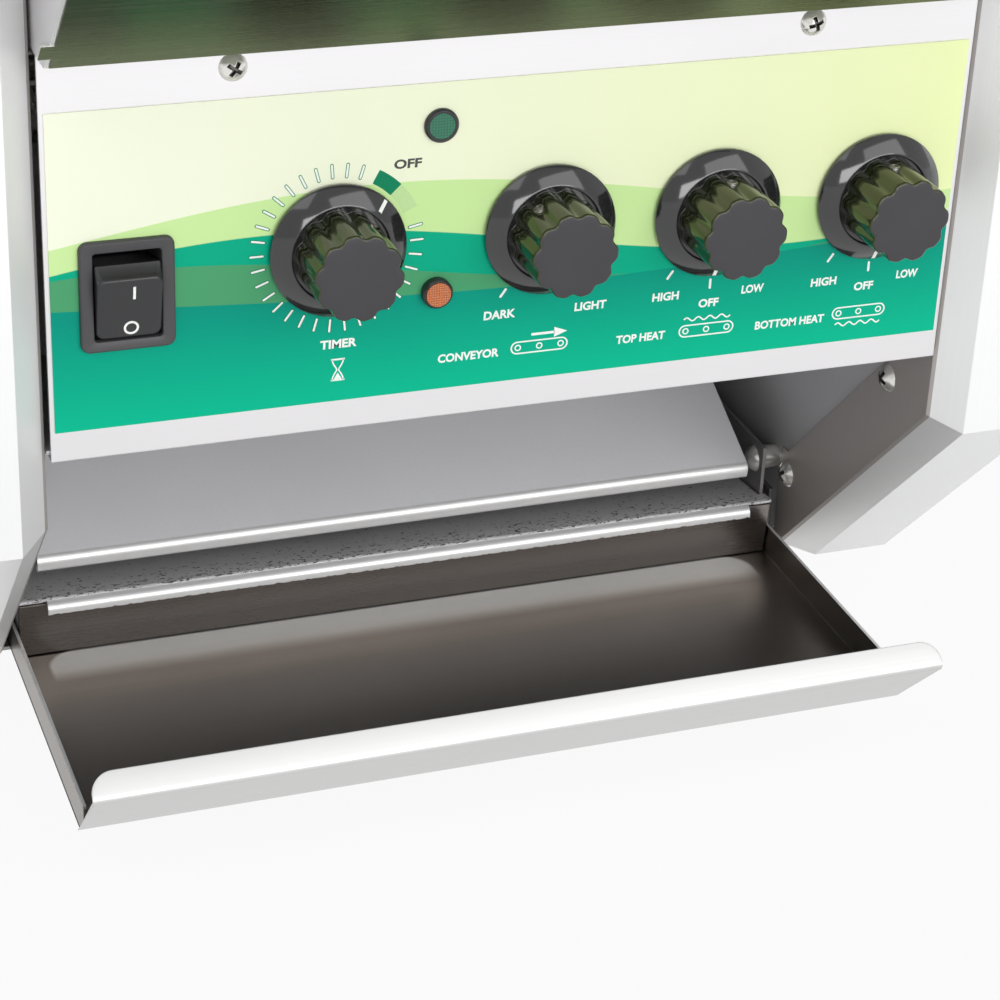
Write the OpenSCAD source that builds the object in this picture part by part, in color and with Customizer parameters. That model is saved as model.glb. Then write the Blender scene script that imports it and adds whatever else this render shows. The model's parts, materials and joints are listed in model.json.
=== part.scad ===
// Countertop conveyor toaster: wire belt over a sloping discharge ramp, controls on
// the front, bread fed in above the controls and delivered onto a tray below them.
// Millimetres, +Z up, front towards -Y, +X to the right of a person facing the front.
// Each place along Y is measured from the front face of the control panel.

/* [Body] */
// Width over both side covers
body_w = 337; // [325:1:360]
// Height from the table to the top cover
body_h = 380; // [370:1:400]
// Y of the outer face of the rear cover
rear_y = 412; // [408:1:430]
// How far the side covers stand in front of the control panel
cover_proud = 6.4; // [5:0.1:8]
// Thickness of the casing sheet
sheet_t = 1.2; // [1:0.1:1.5]
// Height of the rubber feet
foot_h = 25; // [22:1:35]
// Radius of a foot at its top
foot_r = 13; // [10:0.5:15]
// Height where the lower chamfer of a side cover starts, above the cover's bottom
chamfer_rise = 86.8; // [80:0.2:92]
// Depth of that chamfer along Y
chamfer_run = 84; // [80:0.5:88]
// Width of the sloped front above the bread mouth
brow = 50; // [46:1:54]
// Width of the bevel along the inner front edge of a side cover
bevel = 8.6; // [7:0.1:9.5]
// Width of the flange behind that bevel
flange_w = 23.8; // [20:0.2:26]
// Inner face of the flange of a side cover, from the middle
flange_x = 133.6; // [133:0.1:136]

/* [Control panel] */
// Half the width of the panel sheet
panel_half = 132.3; // [131.6:0.1:132.4]
// Bottom edge of the panel sheet
panel_bottom = 136.2; // [130:0.2:140]
// Top of the panel sheet, which carries the feed ramp
panel_top = 250.6; // [248:0.2:254]
// Half the width of the printed overlay
print_half = 131; // [128:0.5:131.2]
// Bottom edge of the overlay
print_bottom = 144.9; // [142:0.1:146]
// Height of the overlay
print_h = 89.5; // [86:0.5:91]
// Thickness of the overlay
print_t = 0.4; // [0.2:0.1:0.6]
// Height of the knob spindles
knob_z = 189.9; // [188:0.1:192]
// X of the timer knob
timer_x = -53.5; // [-56:0.5:-50]
// X of the speed knob, the first of three at one pitch
speed_x = 7; // [4:0.5:10]
// Pitch of the last three knobs
knob_pitch = 50; // [46:0.5:51]
// Height of the two panel screws
panel_screw_z = 242.9; // [240:0.1:244]
// X of the panel screws, left and right of the middle
panel_screw_x = 81.8; // [60:0.2:110]

/* [Knobs] */
// Radius of the skirt
skirt_r = 19; // [17:0.1:20]
// Radius of the top of the skirt's cone
collar_r = 14; // [13:0.1:15]
// Height of the skirt's cone
skirt_h = 4; // [3:0.1:5]
// Radius of the grip
grip_r = 12.6; // [11:0.1:12.8]
// Distance from the panel to the end of the grip
knob_out = 21.4; // [18:0.1:26]
// Gap between a skirt and the panel
knob_gap = 1.2; // [1:0.1:2]
// Number of flutes on a grip
flutes = 10; // [8:1:14]
// Radius of a control spindle
spindle_r = 3; // [2.5:0.1:3.5]

/* [Rocker switch and lamps] */
// X of the rocker switch
rocker_x = -110.8; // [-113:0.1:-108]
// Height of the middle of the rocker switch
rocker_z = 183.3; // [180:0.1:190]
// Width of its frame
rocker_frame_w = 25.5; // [24:0.1:27]
// Height of its frame
rocker_frame_h = 31.3; // [30:0.1:33]
// Width of its opening
rocker_hole_w = 18.2; // [17:0.1:19]
// Height of its opening
rocker_hole_h = 24.9; // [24:0.1:26]
// Tilt of the rocker to either side of level
rocker_tilt = 11; // [8:0.5:11.5]
// X of both lamps
lamp_x = -25.3; // [-27:0.1:-23]
// Height of the green lamp
green_z = 222.6; // [220:0.1:225]
// Height of the amber lamp
amber_z = 174.6; // [172:0.1:178]

/* [Feed ramp] */
// Y of the lower fold of the ramp
ramp_fold_y = -12.5; // [-14:0.1:-10]
// Length of the ramp's run along Y
ramp_run = 57.5; // [40:0.5:62]
// Height of the bread mouth above the belt
mouth_h = 76; // [70:1:80]

/* [Conveyor] */
// Radius of the belt's outside at a shaft
belt_r = 13; // [12.6:0.1:13.4]
// Thickness of the belt
belt_t = 2.4; // [2:0.1:2.6]
// Half the width of the belt
belt_half = 127; // [120:0.5:128]
// Height of both shafts
shaft_z = 235; // [234:0.2:236]
// Y of the front shaft
idler_y = 38; // [37:0.5:42]
// Y of the rear shaft
drive_y = 330; // [320:1:335]
// Radius of both shafts
shaft_r = 5; // [4:0.1:5.5]
// Pitch of the belt's cross wires
belt_pitch = 15; // [12:0.5:20]

/* [Drive] */
// Y of the motor shaft
motor_y = 300; // [292:1:304]
// Height of the motor shaft
motor_z = 95; // [92:1:104]
// Pitch radius of the driven sprocket
driven_r = 24.4; // [22:0.1:26]
// Pitch radius of the motor sprocket, half the driven one
motor_sprocket_r = 12.2; // [11:0.1:13]
// Distance from a side frame to the middle of the chain
chain_out = 9.9; // [8:0.1:12]

/* [Heat] */
// Radius of a heating element
element_r = 4; // [3.5:0.1:4.5]
// Distance from the top cover down to the upper elements
top_element_drop = 40; // [36:0.5:44]
// Number of upper elements
top_elements_n = 4; // [3:1:5]
// Number of lower elements
bottom_elements_n = 3; // [2:1:4]

/* [Discharge] */
// Y of the front edge of the discharge ramp
chute_y = 92.4; // [90:0.2:96]
// Height of the front edge of the discharge ramp
chute_z = 54.5; // [52:0.2:57]
// Half the width of the discharge ramp where it shows
chute_half = 120.8; // [118:0.2:124]
// Slope of the discharge ramp in degrees
chute_slope = 25.9; // [25:0.1:27]

/* [Landing tray] */
// Half the width of the landing tray
tray_half = 129.5; // [129:0.1:130.2]
// Underside of the landing tray
tray_z = 21.2; // [20.8:0.1:21.8]
// Height of its side walls
tray_wall = 11.3; // [9:0.1:12]
// Y of the front edge of its floor
tray_front_y = -6.7; // [-12:0.1:0]
// Y of its rear edge
tray_rear_y = 236; // [220:1:240]
// Run and rise of its sloped front
tray_front_run = 25.6; // [22:0.1:28]
// Length of the flange on its sloped front
tray_flange = 8.9; // [7:0.1:10]
// Thickness of the tray sheet
tray_t = 1; // [0.8:0.1:1.2]

/* [Crumb tray] */
// Y of the crest of its front
crumb_crest_y = 86.4; // [85:0.1:88]
// Height of that crest
crumb_crest_z = 43.5; // [42:0.1:45]
// Y of its rear wall
crumb_rear_y = 290; // [270:1:300]

/* [Hidden] */
$fn = 48;

eps = 0.01;
cut = 1;
running = 0.05;
clear = 0.3;
body_half = body_w / 2;
body_bottom = foot_h;
chamfer_top = body_bottom + chamfer_rise;
front_y = -cover_proud;
chamfer_y = front_y + chamfer_run;
speed_knob_x = speed_x;
top_heat_x = speed_x + knob_pitch;
bottom_heat_x = speed_x + 2 * knob_pitch;
knob_xs = [timer_x, speed_knob_x, top_heat_x, bottom_heat_x];

// Side frames stand just outside the flanges of the side covers.
tray_side_gap = 4.1;
side_x = max(flange_x, tray_half + tray_side_gap);
spread = side_x - flange_x;
frame_x = side_x + sheet_t + 0.1;
frame_out = frame_x + sheet_t;
bay = body_half - sheet_t - frame_out;
drive_x = frame_out + min(chain_out, bay / 2 - 1);
heater_z = body_h - top_element_drop;
inner_half = frame_x - 0.1;
liner_half = side_x - 0.4;
cheek_x = side_x - 2;
ramp_half = cheek_x - 0.2;

// Outline of a side cover, seen along X, anticlockwise: front, slope, top, rear, bottom, chamfer.
cover_outline = [
    [chamfer_y, body_bottom],
    [rear_y, body_bottom],
    [rear_y, body_h],
    [front_y + brow, body_h],
    [front_y, body_h - brow],
    [front_y, chamfer_top]];
// Insets of its edges in the same order, for the bevel and for the flange.
bevel_insets = [0, 0, 0, bevel, bevel, bevel];
flange_rear_y = chute_y + 0.9;
flange_inset = bevel + flange_w;

belt_top = shaft_z + belt_r;
belt_low = shaft_z - belt_r;
mouth_top = min(belt_top + mouth_h, body_h - 56);
hood_rear_y = front_y + brow + cover_proud * sqrt(2) + 0.3;
shelf_y = 62;
shelf_top = belt_low - 6;
ramp_top_y = ramp_fold_y - ramp_run;
ramp_top_z = panel_top + ramp_run;
hem = 6;
ramp_front_y = ramp_top_y - hem;
gland_out = 8;
mid_y = (ramp_front_y + rear_y + gland_out) / 2;

// Slope of the discharge ramp, from its front edge to under the rear deflector.
chute_rear_y = rear_y - 24;
chute_rear_z = chute_z + (chute_rear_y - chute_y) * tan(chute_slope);
chute_wide_y = 150;
pan_half = tray_half - tray_t - 0.6;
pan_z = tray_z + tray_t + 1.5;
pan_top = chute_z + 5.5;
pan_y = chute_y + 0.6;
crumb_half = pan_half - sheet_t - 0.7;
crumb_front_half = tray_half - tray_t - 0.2;
lip_half = chute_half - 1.4;
crumb_z = pan_z + sheet_t + 0.3;
gearbox = 60;
motor_can_r = 26;

// ---- points and profiles ----------------------------------------------------------

// Unit normal to the left of the step from a to b.
function left_of(a, b) = [a[1] - b[1], b[0] - a[0]] / norm(b - a);

// The path p moved to its left by t, with mitred corners.
function beside(p, t) = [for (i = [0:len(p) - 1])
    i == 0 ? p[0] + t * left_of(p[0], p[1])
    : i == len(p) - 1 ? p[i] + t * left_of(p[i - 1], p[i])
    : let (n = left_of(p[i - 1], p[i]), m = left_of(p[i], p[i + 1]))
        p[i] + t * (n + m) / (1 + n * m)];

function backwards(p) = [for (i = [len(p) - 1:-1:0]) p[i]];

// Closed outline of a bent sheet of thickness t, to the left of the path p.
function bent(p, t) = concat(p, backwards(beside(p, t)));

// Where the lines through a with direction u and through b with direction v cross.
function crossing(a, u, b, v) =
    let (d = u[0] * v[1] - u[1] * v[0], w = b - a)
    a + u * (w[0] * v[1] - w[1] * v[0]) / d;

// A convex anticlockwise outline with edge i moved inwards by d[i].
function inset(p, d) = let (n = len(p)) [for (i = [0:n - 1])
    let (h = (i + n - 1) % n, j = (i + 1) % n,
        a = p[h] + d[h] * left_of(p[h], p[i]), b = p[i] + d[i] * left_of(p[i], p[j]))
    crossing(a, p[i] - p[h], b, p[j] - p[i])];

function every(d, n) = [for (i = [1:n]) d];

// Points on a circle arc about c.
function arc(c, r, from, to, steps) = [for (i = [0:steps])
    let (a = from + (to - from) * i / steps) [c[0] + r * cos(a), c[1] + r * sin(a)]];

// ---- building blocks --------------------------------------------------------------

// Moves what is measured from the control panel to the middle of the whole object.
module placed() {
    translate([0, -mid_y, 0]) children();
}

// Block between two corners.
module block(low, high) {
    translate(low) cube(high - low);
}

// Outline in Y and Z, drawn out along X.
module along_x(outline, x0, x1) {
    translate([x0, 0, 0]) rotate([90, 0, 90]) linear_extrude(x1 - x0) polygon(outline);
}

// Outline in X and Z, drawn out along Y.
module along_y(outline, y0, y1) {
    translate([0, y1, 0]) rotate([90, 0, 0]) linear_extrude(y1 - y0) polygon(outline);
}

module rod_x(r, x0, x1, y, z) {
    translate([x0, y, z]) rotate([0, 90, 0]) cylinder(r = r, h = x1 - x0);
}

module rod_y(r, y0, y1, x, z) {
    translate([x, y0, z]) rotate([-90, 0, 0]) cylinder(r = r, h = y1 - y0);
}

// Turns a shape drawn along +Z to point out of the panel at x, z.
module on_panel(x, z) {
    translate([x, 0, z]) rotate([90, 0, 0]) children();
}

module both_sides() {
    children();
    mirror([1, 0, 0]) children();
}

// Rectangle with round corners, centred.
module round_plate(w, h, r, t) {
    linear_extrude(t) union() {
        square([w - 2 * r, h], center = true);
        square([w, h - 2 * r], center = true);
        for (x = [-1, 1], y = [-1, 1])
            translate([x * (w / 2 - r), y * (h / 2 - r)]) circle(r = r);
    }
}

// ---- casing -----------------------------------------------------------------------

// Flange screws: Y and Z on the inner face of a side cover's flange.
flange_screws = [
    [front_y + flange_inset + 1.4, chamfer_top + 4.4],
    [flange_rear_y - 5.6, pan_top - 7.8],
    [front_y + flange_inset - 12, shaft_z - 6]];
flange_screw_r = 2;

// Solid of a side cover's outside at depth t below its surface, from x0 outwards.
module cover_block(t, x0) {
    outline = inset(cover_outline, every(t, 6));
    slopes = inset(cover_outline, [for (b = bevel_insets) b > 0 ? t : -cut]);
    difference() {
        along_x(outline, x0, body_half - t);
        for (i = [3:5]) {
            a = cover_outline[i];
            b = cover_outline[(i + 1) % 6];
            u = (b - a) / norm(b - a);
            n = left_of(a, b);
            q = a + n * (bevel + t * sqrt(2)) - u * body_h;
            // The wedge between the bevel and the front edge.
            multmatrix([
                [1, 0, 0, side_x],
                [0, n[0], u[0], q[0]],
                [0, n[1], u[1], q[1]],
                [0, 0, 0, 1]])
                linear_extrude(3 * body_h)
                    polygon([[-cut, cut], [bevel + 2 * cut, -bevel - 2 * cut],
                        [bevel + 2 * cut, -3 * bevel], [-cut, -3 * bevel]]);
        }
    }
}

module side_cover() {
    t = sheet_t;
    window = inset(cover_outline, [t, t, t, flange_inset, flange_inset, flange_inset]);
    difference() {
        cover_block(0, side_x);
        cover_block(sheet_t, side_x + sheet_t);
        // Behind the flange the inner side is open.
        difference() {
            along_x(window, side_x - cut, side_x + sheet_t + cut);
            block([side_x - 2 * cut, 0, 0], [side_x + 2 * sheet_t, flange_rear_y, pan_top]);
        }
        // Behind the flange the side is open at the bottom as well.
        block([side_x - cut, flange_rear_y, 0],
            [side_x + sheet_t + eps, rear_y - 14, pan_top + 8]);
        for (p = flange_screws)
            rod_x(flange_screw_r, side_x - cut, side_x + sheet_t + cut, p[0], p[1]);
        // Cooling slots in the outer panel.
        for (i = [0:7])
            block([body_half - 2 * sheet_t, 120 + 24 * i, 60],
                [body_half + cut, 126 + 24 * i, 110]);
    }
}

module side_cover_left() {
    color("silver") placed() mirror([1, 0, 0]) side_cover();
}

module side_cover_right() {
    color("silver") placed() side_cover();
}

module side_frame() {
    gap = sheet_t + 0.1;
    plate = inset(cover_outline, [gap + 0.7, gap, gap, 16, 16, 16]);
    top = body_h - gap;
    rear = rear_y - gap;
    difference() {
        union() {
            along_x(plate, frame_x, frame_out);
            // Flanges that carry the top cover and the rear cover.
            block([liner_half - 14, hood_rear_y + 40, top - sheet_t], [frame_out, rear_y - 40, top]);
            block([liner_half - 14, rear - sheet_t, 60], [frame_out, rear, body_h - 50]);
        }
        for (y = [idler_y, drive_y])
            rod_x(bush_r + running, frame_x - cut, frame_out + cut, y, shaft_z);
        rod_x(motor_boss_r + running, frame_x - cut, frame_out + cut, motor_y, motor_z);
        for (p = flange_screws)
            rod_x(flange_screw_r, frame_x - cut, frame_out + cut, p[0], p[1]);
        for (z = rear_screw_zs)
            rod_y(flange_screw_r, rear - 2 * sheet_t, rear + cut, rear_screw_x, z);
    }
}

module side_frame_left() {
    color("darkgray") placed() mirror([1, 0, 0]) side_frame();
}

module side_frame_right() {
    color("darkgray") placed() side_frame();
}

rear_screw_x = liner_half - 7;
rear_screw_zs = [90, body_h / 2 + 10, body_h - 70];

module base_pan() {
    rim = sheet_t;
    profile = bent([[-pan_half, pan_top], [-pan_half, pan_z], [pan_half, pan_z],
        [pan_half, pan_top]], rim);
    color("gray") placed() difference() {
        along_y(profile, pan_y, rear_y - 2 * sheet_t - 0.3);
        for (y = spacer_ys)
            rod_x(flange_screw_r, -pan_half - cut, pan_half + cut, y, spacer_z);
    }
}

spacer_ys = [pan_y + 7, 230, 360];
spacer_z = pan_top - 7;

// Tubes between the base pan and the side frames, with their screws.
module pan_spacers() {
    color("silver") placed() both_sides() for (y = spacer_ys) {
        rod_x(4, pan_half, frame_x, y, spacer_z);
        rod_x(flange_screw_r, pan_half - sheet_t - eps, pan_half + eps, y, spacer_z);
        translate([pan_half - sheet_t, y, spacer_z]) rotate([0, -90, 0]) dome(4.7, 2.8);
    }
}

// Low round screw head of radius r and height h, standing on z = 0.
module dome(r, h) {
    ball = (r * r + h * h) / (2 * h);
    intersection() {
        translate([0, 0, h - ball]) sphere(r = ball);
        cylinder(r = r, h = h);
    }
}

module top_cover() {
    gap = sheet_t + eps;
    front = hood_rear_y;
    path = [[front + 10, body_h - 12], [front, body_h - 12], [front, body_h],
        [rear_y - sheet_t - 0.3, body_h], [rear_y - sheet_t - 0.3, body_h - 12]];
    color("silver") placed() difference() {
        along_x(bent(path, -sheet_t), -liner_half, liner_half);
        // Clear of the flanges of the side frames.
        both_sides() block([liner_half - 15, front - cut, 0], [body_half, rear_y, body_h - gap]);
        // Steam slots near the rear.
        for (x = [-5:5])
            block([x * 20 - 7, rear_y - 70, body_h - 4], [x * 20 + 7, rear_y - 64, body_h + cut]);
    }
}

module rear_cover() {
    y = rear_y - sheet_t;
    color("silver") placed() difference() {
        block([-liner_half, y, body_bottom - 1], [liner_half, rear_y, body_h - sheet_t - 0.2]);
        for (row = [0:6], x = [-1, 0, 1])
            block([x * 70 - 28, y - cut, 230 + 16 * row], [x * 70 + 28, rear_y + cut, 235 + 16 * row]);
        // Slots in front of the fan.
        for (row = [-4:4])
            let (w = sqrt(pow(fan_bore, 2) - pow(row * 8, 2)))
                block([fan_x - w, y - cut, fan_z + row * 8 - 2],
                    [fan_x + w, rear_y + cut, fan_z + row * 8 + 2]);
        rod_y(gland_neck + running, y - cut, rear_y + cut, gland_x, gland_z);
        for (x = [-1, 1], z = rear_screw_zs)
            rod_y(flange_screw_r, y - cut, rear_y + cut, x * rear_screw_x, z);
    }
}

module control_panel() {
    path = [[14, panel_bottom], [0, panel_bottom], [0, panel_top], [13, panel_top]];
    color("gainsboro") placed() difference() {
        along_x(bent(backwards(path), sheet_t), -panel_half - spread, panel_half + spread);
        panel_holes(1.2 * sheet_t);
        for (x = [-1, 1])
            rod_y(flange_screw_r, -cut, sheet_t + cut, x * panel_screw_x, panel_screw_z);
    }
}

control_bush_r = 4.8;
lamp_body_r = 3.4;

// Holes for the controls, through the panel and through its overlay, t deep.
module panel_holes(t) {
    for (x = knob_xs)
        rod_y(control_bush_r, -t - cut, t + cut, x, knob_z);
    for (z = [green_z, amber_z])
        rod_y(lamp_body_r + running, -t - cut, t + cut, lamp_x, z);
    block([rocker_x - rocker_body_w / 2, -t - cut, rocker_z - rocker_body_h / 2],
        [rocker_x + rocker_body_w / 2, t + cut, rocker_z + rocker_body_h / 2]);
}

module panel_overlay() {
    color("yellowgreen") placed() difference() {
        block([-print_half - spread, -print_t, print_bottom], [print_half + spread, 0, print_bottom + print_h]);
        panel_holes(print_t);
    }
}

// Pan heads with a cross recess.
module panel_screws() {
    color("silver") placed() for (x = [-1, 1]) on_panel(x * panel_screw_x, panel_screw_z) {
        difference() {
            dome(3.9, 2.6);
            for (a = [20, 110])
                rotate(a) block([-2.2, -0.5, 1.2], [2.2, 0.5, 3]);
        }
        translate([0, 0, -6]) cylinder(r = flange_screw_r - running, h = 6);
    }
}

// Floor and back of the control compartment.
module control_shelf() {
    path = [[2, panel_bottom + sheet_t + 0.2], [shelf_y, panel_bottom + sheet_t + 0.2],
        [shelf_y, shelf_top], [shelf_y - 12, shelf_top]];
    color("darkgray") placed() along_x(bent(path, sheet_t), -liner_half, liner_half);
}

module cover_screws() {
    color("silver") placed() {
        both_sides() for (p = flange_screws) {
            translate([side_x, p[0], p[1]]) rotate([0, -90, 0]) dome(4.7, 2.8);
            rod_x(flange_screw_r - running, side_x - eps, frame_out + 2, p[0], p[1]);
        }
        both_sides() for (z = rear_screw_zs) {
            translate([rear_screw_x, rear_y, z]) rotate([-90, 0, 0]) dome(3.6, 2.4);
            rod_y(flange_screw_r - running, rear_y - 6, rear_y + eps, rear_screw_x, z);
        }
    }
}

module front_hood() {
    gap = 0.2;
    rise = body_h - brow - front_y - cover_proud * sqrt(2);
    end = hood_rear_y - gap - sheet_t / sqrt(2);
    path = [[24, mouth_top], [1, mouth_top], [1, rise + 1], [end, rise + end]];
    color("silver") placed() along_x(bent(backwards(path), sheet_t), -liner_half, liner_half);
}

module feet() {
    color("black") placed() both_sides() for (y = foot_ys) translate([foot_x, y, 0])
        rotate_extrude() polygon([[0, 0], [foot_r - 3, 0], [foot_r - 2, 1],
            [foot_r, foot_h], [0, foot_h]]);
}

foot_x = (side_x + body_half) / 2 + 0.5;
foot_ys = [142, rear_y - 28];

// ---- bread feed -------------------------------------------------------------------

tab_y = ramp_fold_y - 4;

module feed_ramp() {
    path = [[idler_y - 10, panel_top], [ramp_fold_y, panel_top], [ramp_top_y, ramp_top_z],
        [ramp_front_y, ramp_top_z]];
    color("silver") placed() {
        along_x(bent(backwards(path), sheet_t), -ramp_half, ramp_half);
        // Tabs that lock the ramp in the slots of its cheeks.
        both_sides() along_x(tab_outline(0), ramp_half - eps, cheek_x + sheet_t + 2);
    }
}

// Cross-section of a tab in the plane of the ramp, with a gap g all round.
function tab_outline(g) =
    let (u = [-1, 1] / sqrt(2), n = [1, 1] / sqrt(2),
        a = [ramp_fold_y, panel_top] + 5 * u)
    [a - g * (u + n), a - g * (u + n) + (7 + 2 * g) * u,
        a + g * (n - u) + (7 + 2 * g) * u + sheet_t * n, a + g * (n - u) + sheet_t * n];

module feed_cheek() {
    outline = [[22, panel_top + 0.2], [ramp_fold_y, panel_top + 0.2],
        [ramp_top_y, ramp_top_z + 0.2], [ramp_top_y + 10, ramp_top_z + 10],
        [22, ramp_top_z + 10]];
    difference() {
        along_x(backwards(outline), cheek_x, cheek_x + sheet_t);
        along_x(tab_outline(0.1), cheek_x - cut, cheek_x + sheet_t + cut);
    }
}

module feed_cheek_left() {
    color("silver") placed() mirror([1, 0, 0]) feed_cheek();
}

module feed_cheek_right() {
    color("silver") placed() feed_cheek();
}

// ---- conveyor ---------------------------------------------------------------------

wheel_r = belt_r - belt_t - 0.3;
wheel_xs = [-112, -40, 40, 112];
bush_r = 8;

function belt_loop(r) = concat(
    arc([idler_y, shaft_z], r, 90, 270, 24),
    arc([drive_y, shaft_z], r, -90, 90, 24));

// Belt with its openings, cut through the upper and the lower run at once.
module conveyor_belt() {
    wires = floor((drive_y - idler_y - 8) / belt_pitch);
    start = (idler_y + drive_y - wires * belt_pitch) / 2;
    cells = 4;
    cell_w = 2 * belt_half / cells;
    color("gray") placed() difference() {
        along_x(belt_loop(belt_r), -belt_half, belt_half);
        along_x(belt_loop(belt_r - belt_t), -belt_half - cut, belt_half + cut);
        for (i = [0:wires - 1], j = [0:cells - 1])
            block([-belt_half + cell_w * j + 2, start + belt_pitch * i + 1.5, belt_low - cut],
                [-belt_half + cell_w * (j + 1) - 2, start + belt_pitch * (i + 1) - 1.5,
                    belt_top + cut]);
    }
}

module idler_shaft() {
    color("silver") placed() rod_x(shaft_r, -frame_out - 2, frame_out + 2, idler_y, shaft_z);
}

module drive_shaft() {
    color("silver") placed() rod_x(shaft_r, -frame_out - 2, drive_x + 6, drive_y, shaft_z);
}

// Grooved wheels that carry the belt on one shaft.
module belt_wheels(y) {
    for (x = wheel_xs) difference() {
        union() {
            rod_x(wheel_r, x - 4, x + 4, y, shaft_z);
            rod_x(shaft_r + 2.5, x - 9, x + 9, y, shaft_z);
        }
        rod_x(shaft_r + eps, x - 10, x + 10, y, shaft_z);
    }
}

module idler_wheels() {
    color("dimgray") placed() belt_wheels(idler_y);
}

module drive_wheels() {
    color("dimgray") placed() belt_wheels(drive_y);
}

// Flanged bushes in the side frames.
module shaft_bushes() {
    color("goldenrod") placed() both_sides() for (y = [idler_y, drive_y]) difference() {
        union() {
            rod_x(bush_r, frame_x - 2, frame_out + 1.5, y, shaft_z);
            rod_x(bush_r + 2, frame_x - 2, frame_x - running, y, shaft_z);
        }
        rod_x(shaft_r + running, frame_x - 3, frame_out + 3, y, shaft_z);
    }
}

// ---- drive ------------------------------------------------------------------------

driven_teeth = 24;
motor_teeth = 12;
motor_shaft_r = 4;
motor_boss_r = 9;
sprocket_t = 2.6;
chain_plate = 0.8;

// Toothed disc with a hub; the chain runs on both sides of the teeth.
module sprocket(r, teeth, bore, y, z) {
    translate([drive_x - sprocket_t / 2, y, z]) rotate([90, 0, 90]) difference() {
        union() {
            linear_extrude(sprocket_t) polygon([for (i = [0:teeth - 1], s = [0:3])
                let (a = (i + s / 4) * 360 / teeth, q = s == 1 || s == 2 ? r + 1.6 : r - 1.2)
                q * [cos(a), sin(a)]]);
            translate([0, 0, sprocket_t]) cylinder(r = bore + 3, h = 4);
        }
        translate([0, 0, -cut]) cylinder(r = bore + eps, h = 10);
    }
}

module driven_sprocket() {
    color("dimgray") placed() sprocket(driven_r, driven_teeth, shaft_r, drive_y, shaft_z);
}

// Motor sprocket with the output shaft of the gear motor.
module motor_sprocket() {
    color("dimgray") placed() union() {
        sprocket(motor_sprocket_r, motor_teeth, motor_shaft_r - 0.5, motor_y, motor_z);
        rod_x(motor_shaft_r, frame_x - 18, drive_x + 4, motor_y, motor_z);
    }
}

// Outline of the chain at distance e outside the pitch line, round both sprockets.
function chain_outline(e) =
    let (a = [motor_y, motor_z], b = [drive_y, shaft_z], d = norm(b - a),
        lean = atan2(b[1] - a[1], b[0] - a[0]),
        spread = acos((motor_sprocket_r - driven_r) / d))
    concat(arc(b, driven_r + e, lean - spread, lean + spread, 28),
        arc(a, motor_sprocket_r + e, lean + spread, lean + 360 - spread, 20));

module drive_chain() {
    gap = sprocket_t / 2 + 0.3;
    a = [motor_y, motor_z];
    b = [drive_y, shaft_z];
    d = norm(b - a);
    lean = atan2(b[1] - a[1], b[0] - a[0]);
    spread = acos((motor_sprocket_r - driven_r) / d);
    color("dimgray") placed() {
        for (x = [drive_x - gap - chain_plate, drive_x + gap]) difference() {
            along_x(chain_outline(2.6), x, x + chain_plate);
            along_x(chain_outline(-2.6), x - cut, x + chain_plate + cut);
        }
        // Rollers between the plates, on the two straight runs.
        for (side = [-1, 1], k = [3:13]) {
            ray = lean + side * spread;
            p = a + motor_sprocket_r * [cos(ray), sin(ray)];
            q = b + driven_r * [cos(ray), sin(ray)];
            c = p + (q - p) * k / 16;
            rod_x(1.6, drive_x - gap - eps, drive_x + gap + eps, c[0], c[1]);
        }
    }
}

module gear_motor() {
    x0 = frame_x - 40;
    color("darkslategray") placed() difference() {
        union() {
            block([x0, motor_y - gearbox / 2, motor_z - gearbox / 2],
                [frame_x - 0.1, motor_y + gearbox / 2, motor_z + gearbox / 2]);
            rod_x(motor_can_r, x0 - 62, x0 + eps, motor_y, motor_z);
            rod_x(motor_can_r - 8, x0 - 68, x0 - 61, motor_y, motor_z);
            rod_x(motor_boss_r, frame_x - 1, frame_out + 2, motor_y, motor_z);
        }
        rod_x(motor_shaft_r + running, frame_x - 18 - running, frame_out + 4, motor_y, motor_z);
    }
}

// ---- heat -------------------------------------------------------------------------

top_ys = [for (i = [0:top_elements_n - 1])
    idler_y + 42 + (drive_y - idler_y - 72) * i / (top_elements_n - 1)];
bottom_ys = [for (i = [0:bottom_elements_n - 1])
    idler_y + 50 + (drive_y - idler_y - 100) * i / (bottom_elements_n - 1)];
insulator_l = 7;
element_half = inner_half - insulator_l;

module top_elements() {
    color("lightgray") placed() for (y = top_ys)
        rod_x(element_r, -element_half, element_half, y, heater_z);
}

module bottom_elements() {
    color("lightgray") placed() for (y = bottom_ys)
        rod_x(element_r, -element_half, element_half, y, shaft_z);
}

module element_insulators() {
    color("white") placed() both_sides() {
        for (y = top_ys)
            rod_x(element_r + 3, element_half, inner_half, y, heater_z);
        for (y = bottom_ys)
            rod_x(element_r + 3, element_half, inner_half, y, shaft_z);
    }
}

module top_reflector() {
    z = heater_z + element_r + 10;
    path = [[28, z - 18], [44, z], [rear_y - 40, z], [rear_y - 24, z - 18]];
    color("silver") placed() along_x(bent(path, sheet_t), -liner_half, liner_half);
}

module bottom_reflector() {
    path = [[24, shelf_top + 4], [28, shelf_top + 0.1], [drive_y - 22, shelf_top + 0.1],
        [drive_y - 18, shelf_top + 4]];
    color("silver") placed() along_x(bent(path, sheet_t), -liner_half, liner_half);
}

// Curved plate behind the belt that turns the toast down onto the ramp.
module rear_deflector() {
    r = min(60, (mouth_top - chute_rear_z) / 2.1);
    c = [rear_y - 12 - r, mouth_top - 50 * r / 60];
    path = concat([[rear_y - 14, mouth_top]],
        arc(c, r, 20, -38, 12));
    color("silver") placed() along_x(bent(backwards(path), sheet_t), -inner_half, inner_half);
}

// ---- discharge --------------------------------------------------------------------

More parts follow.
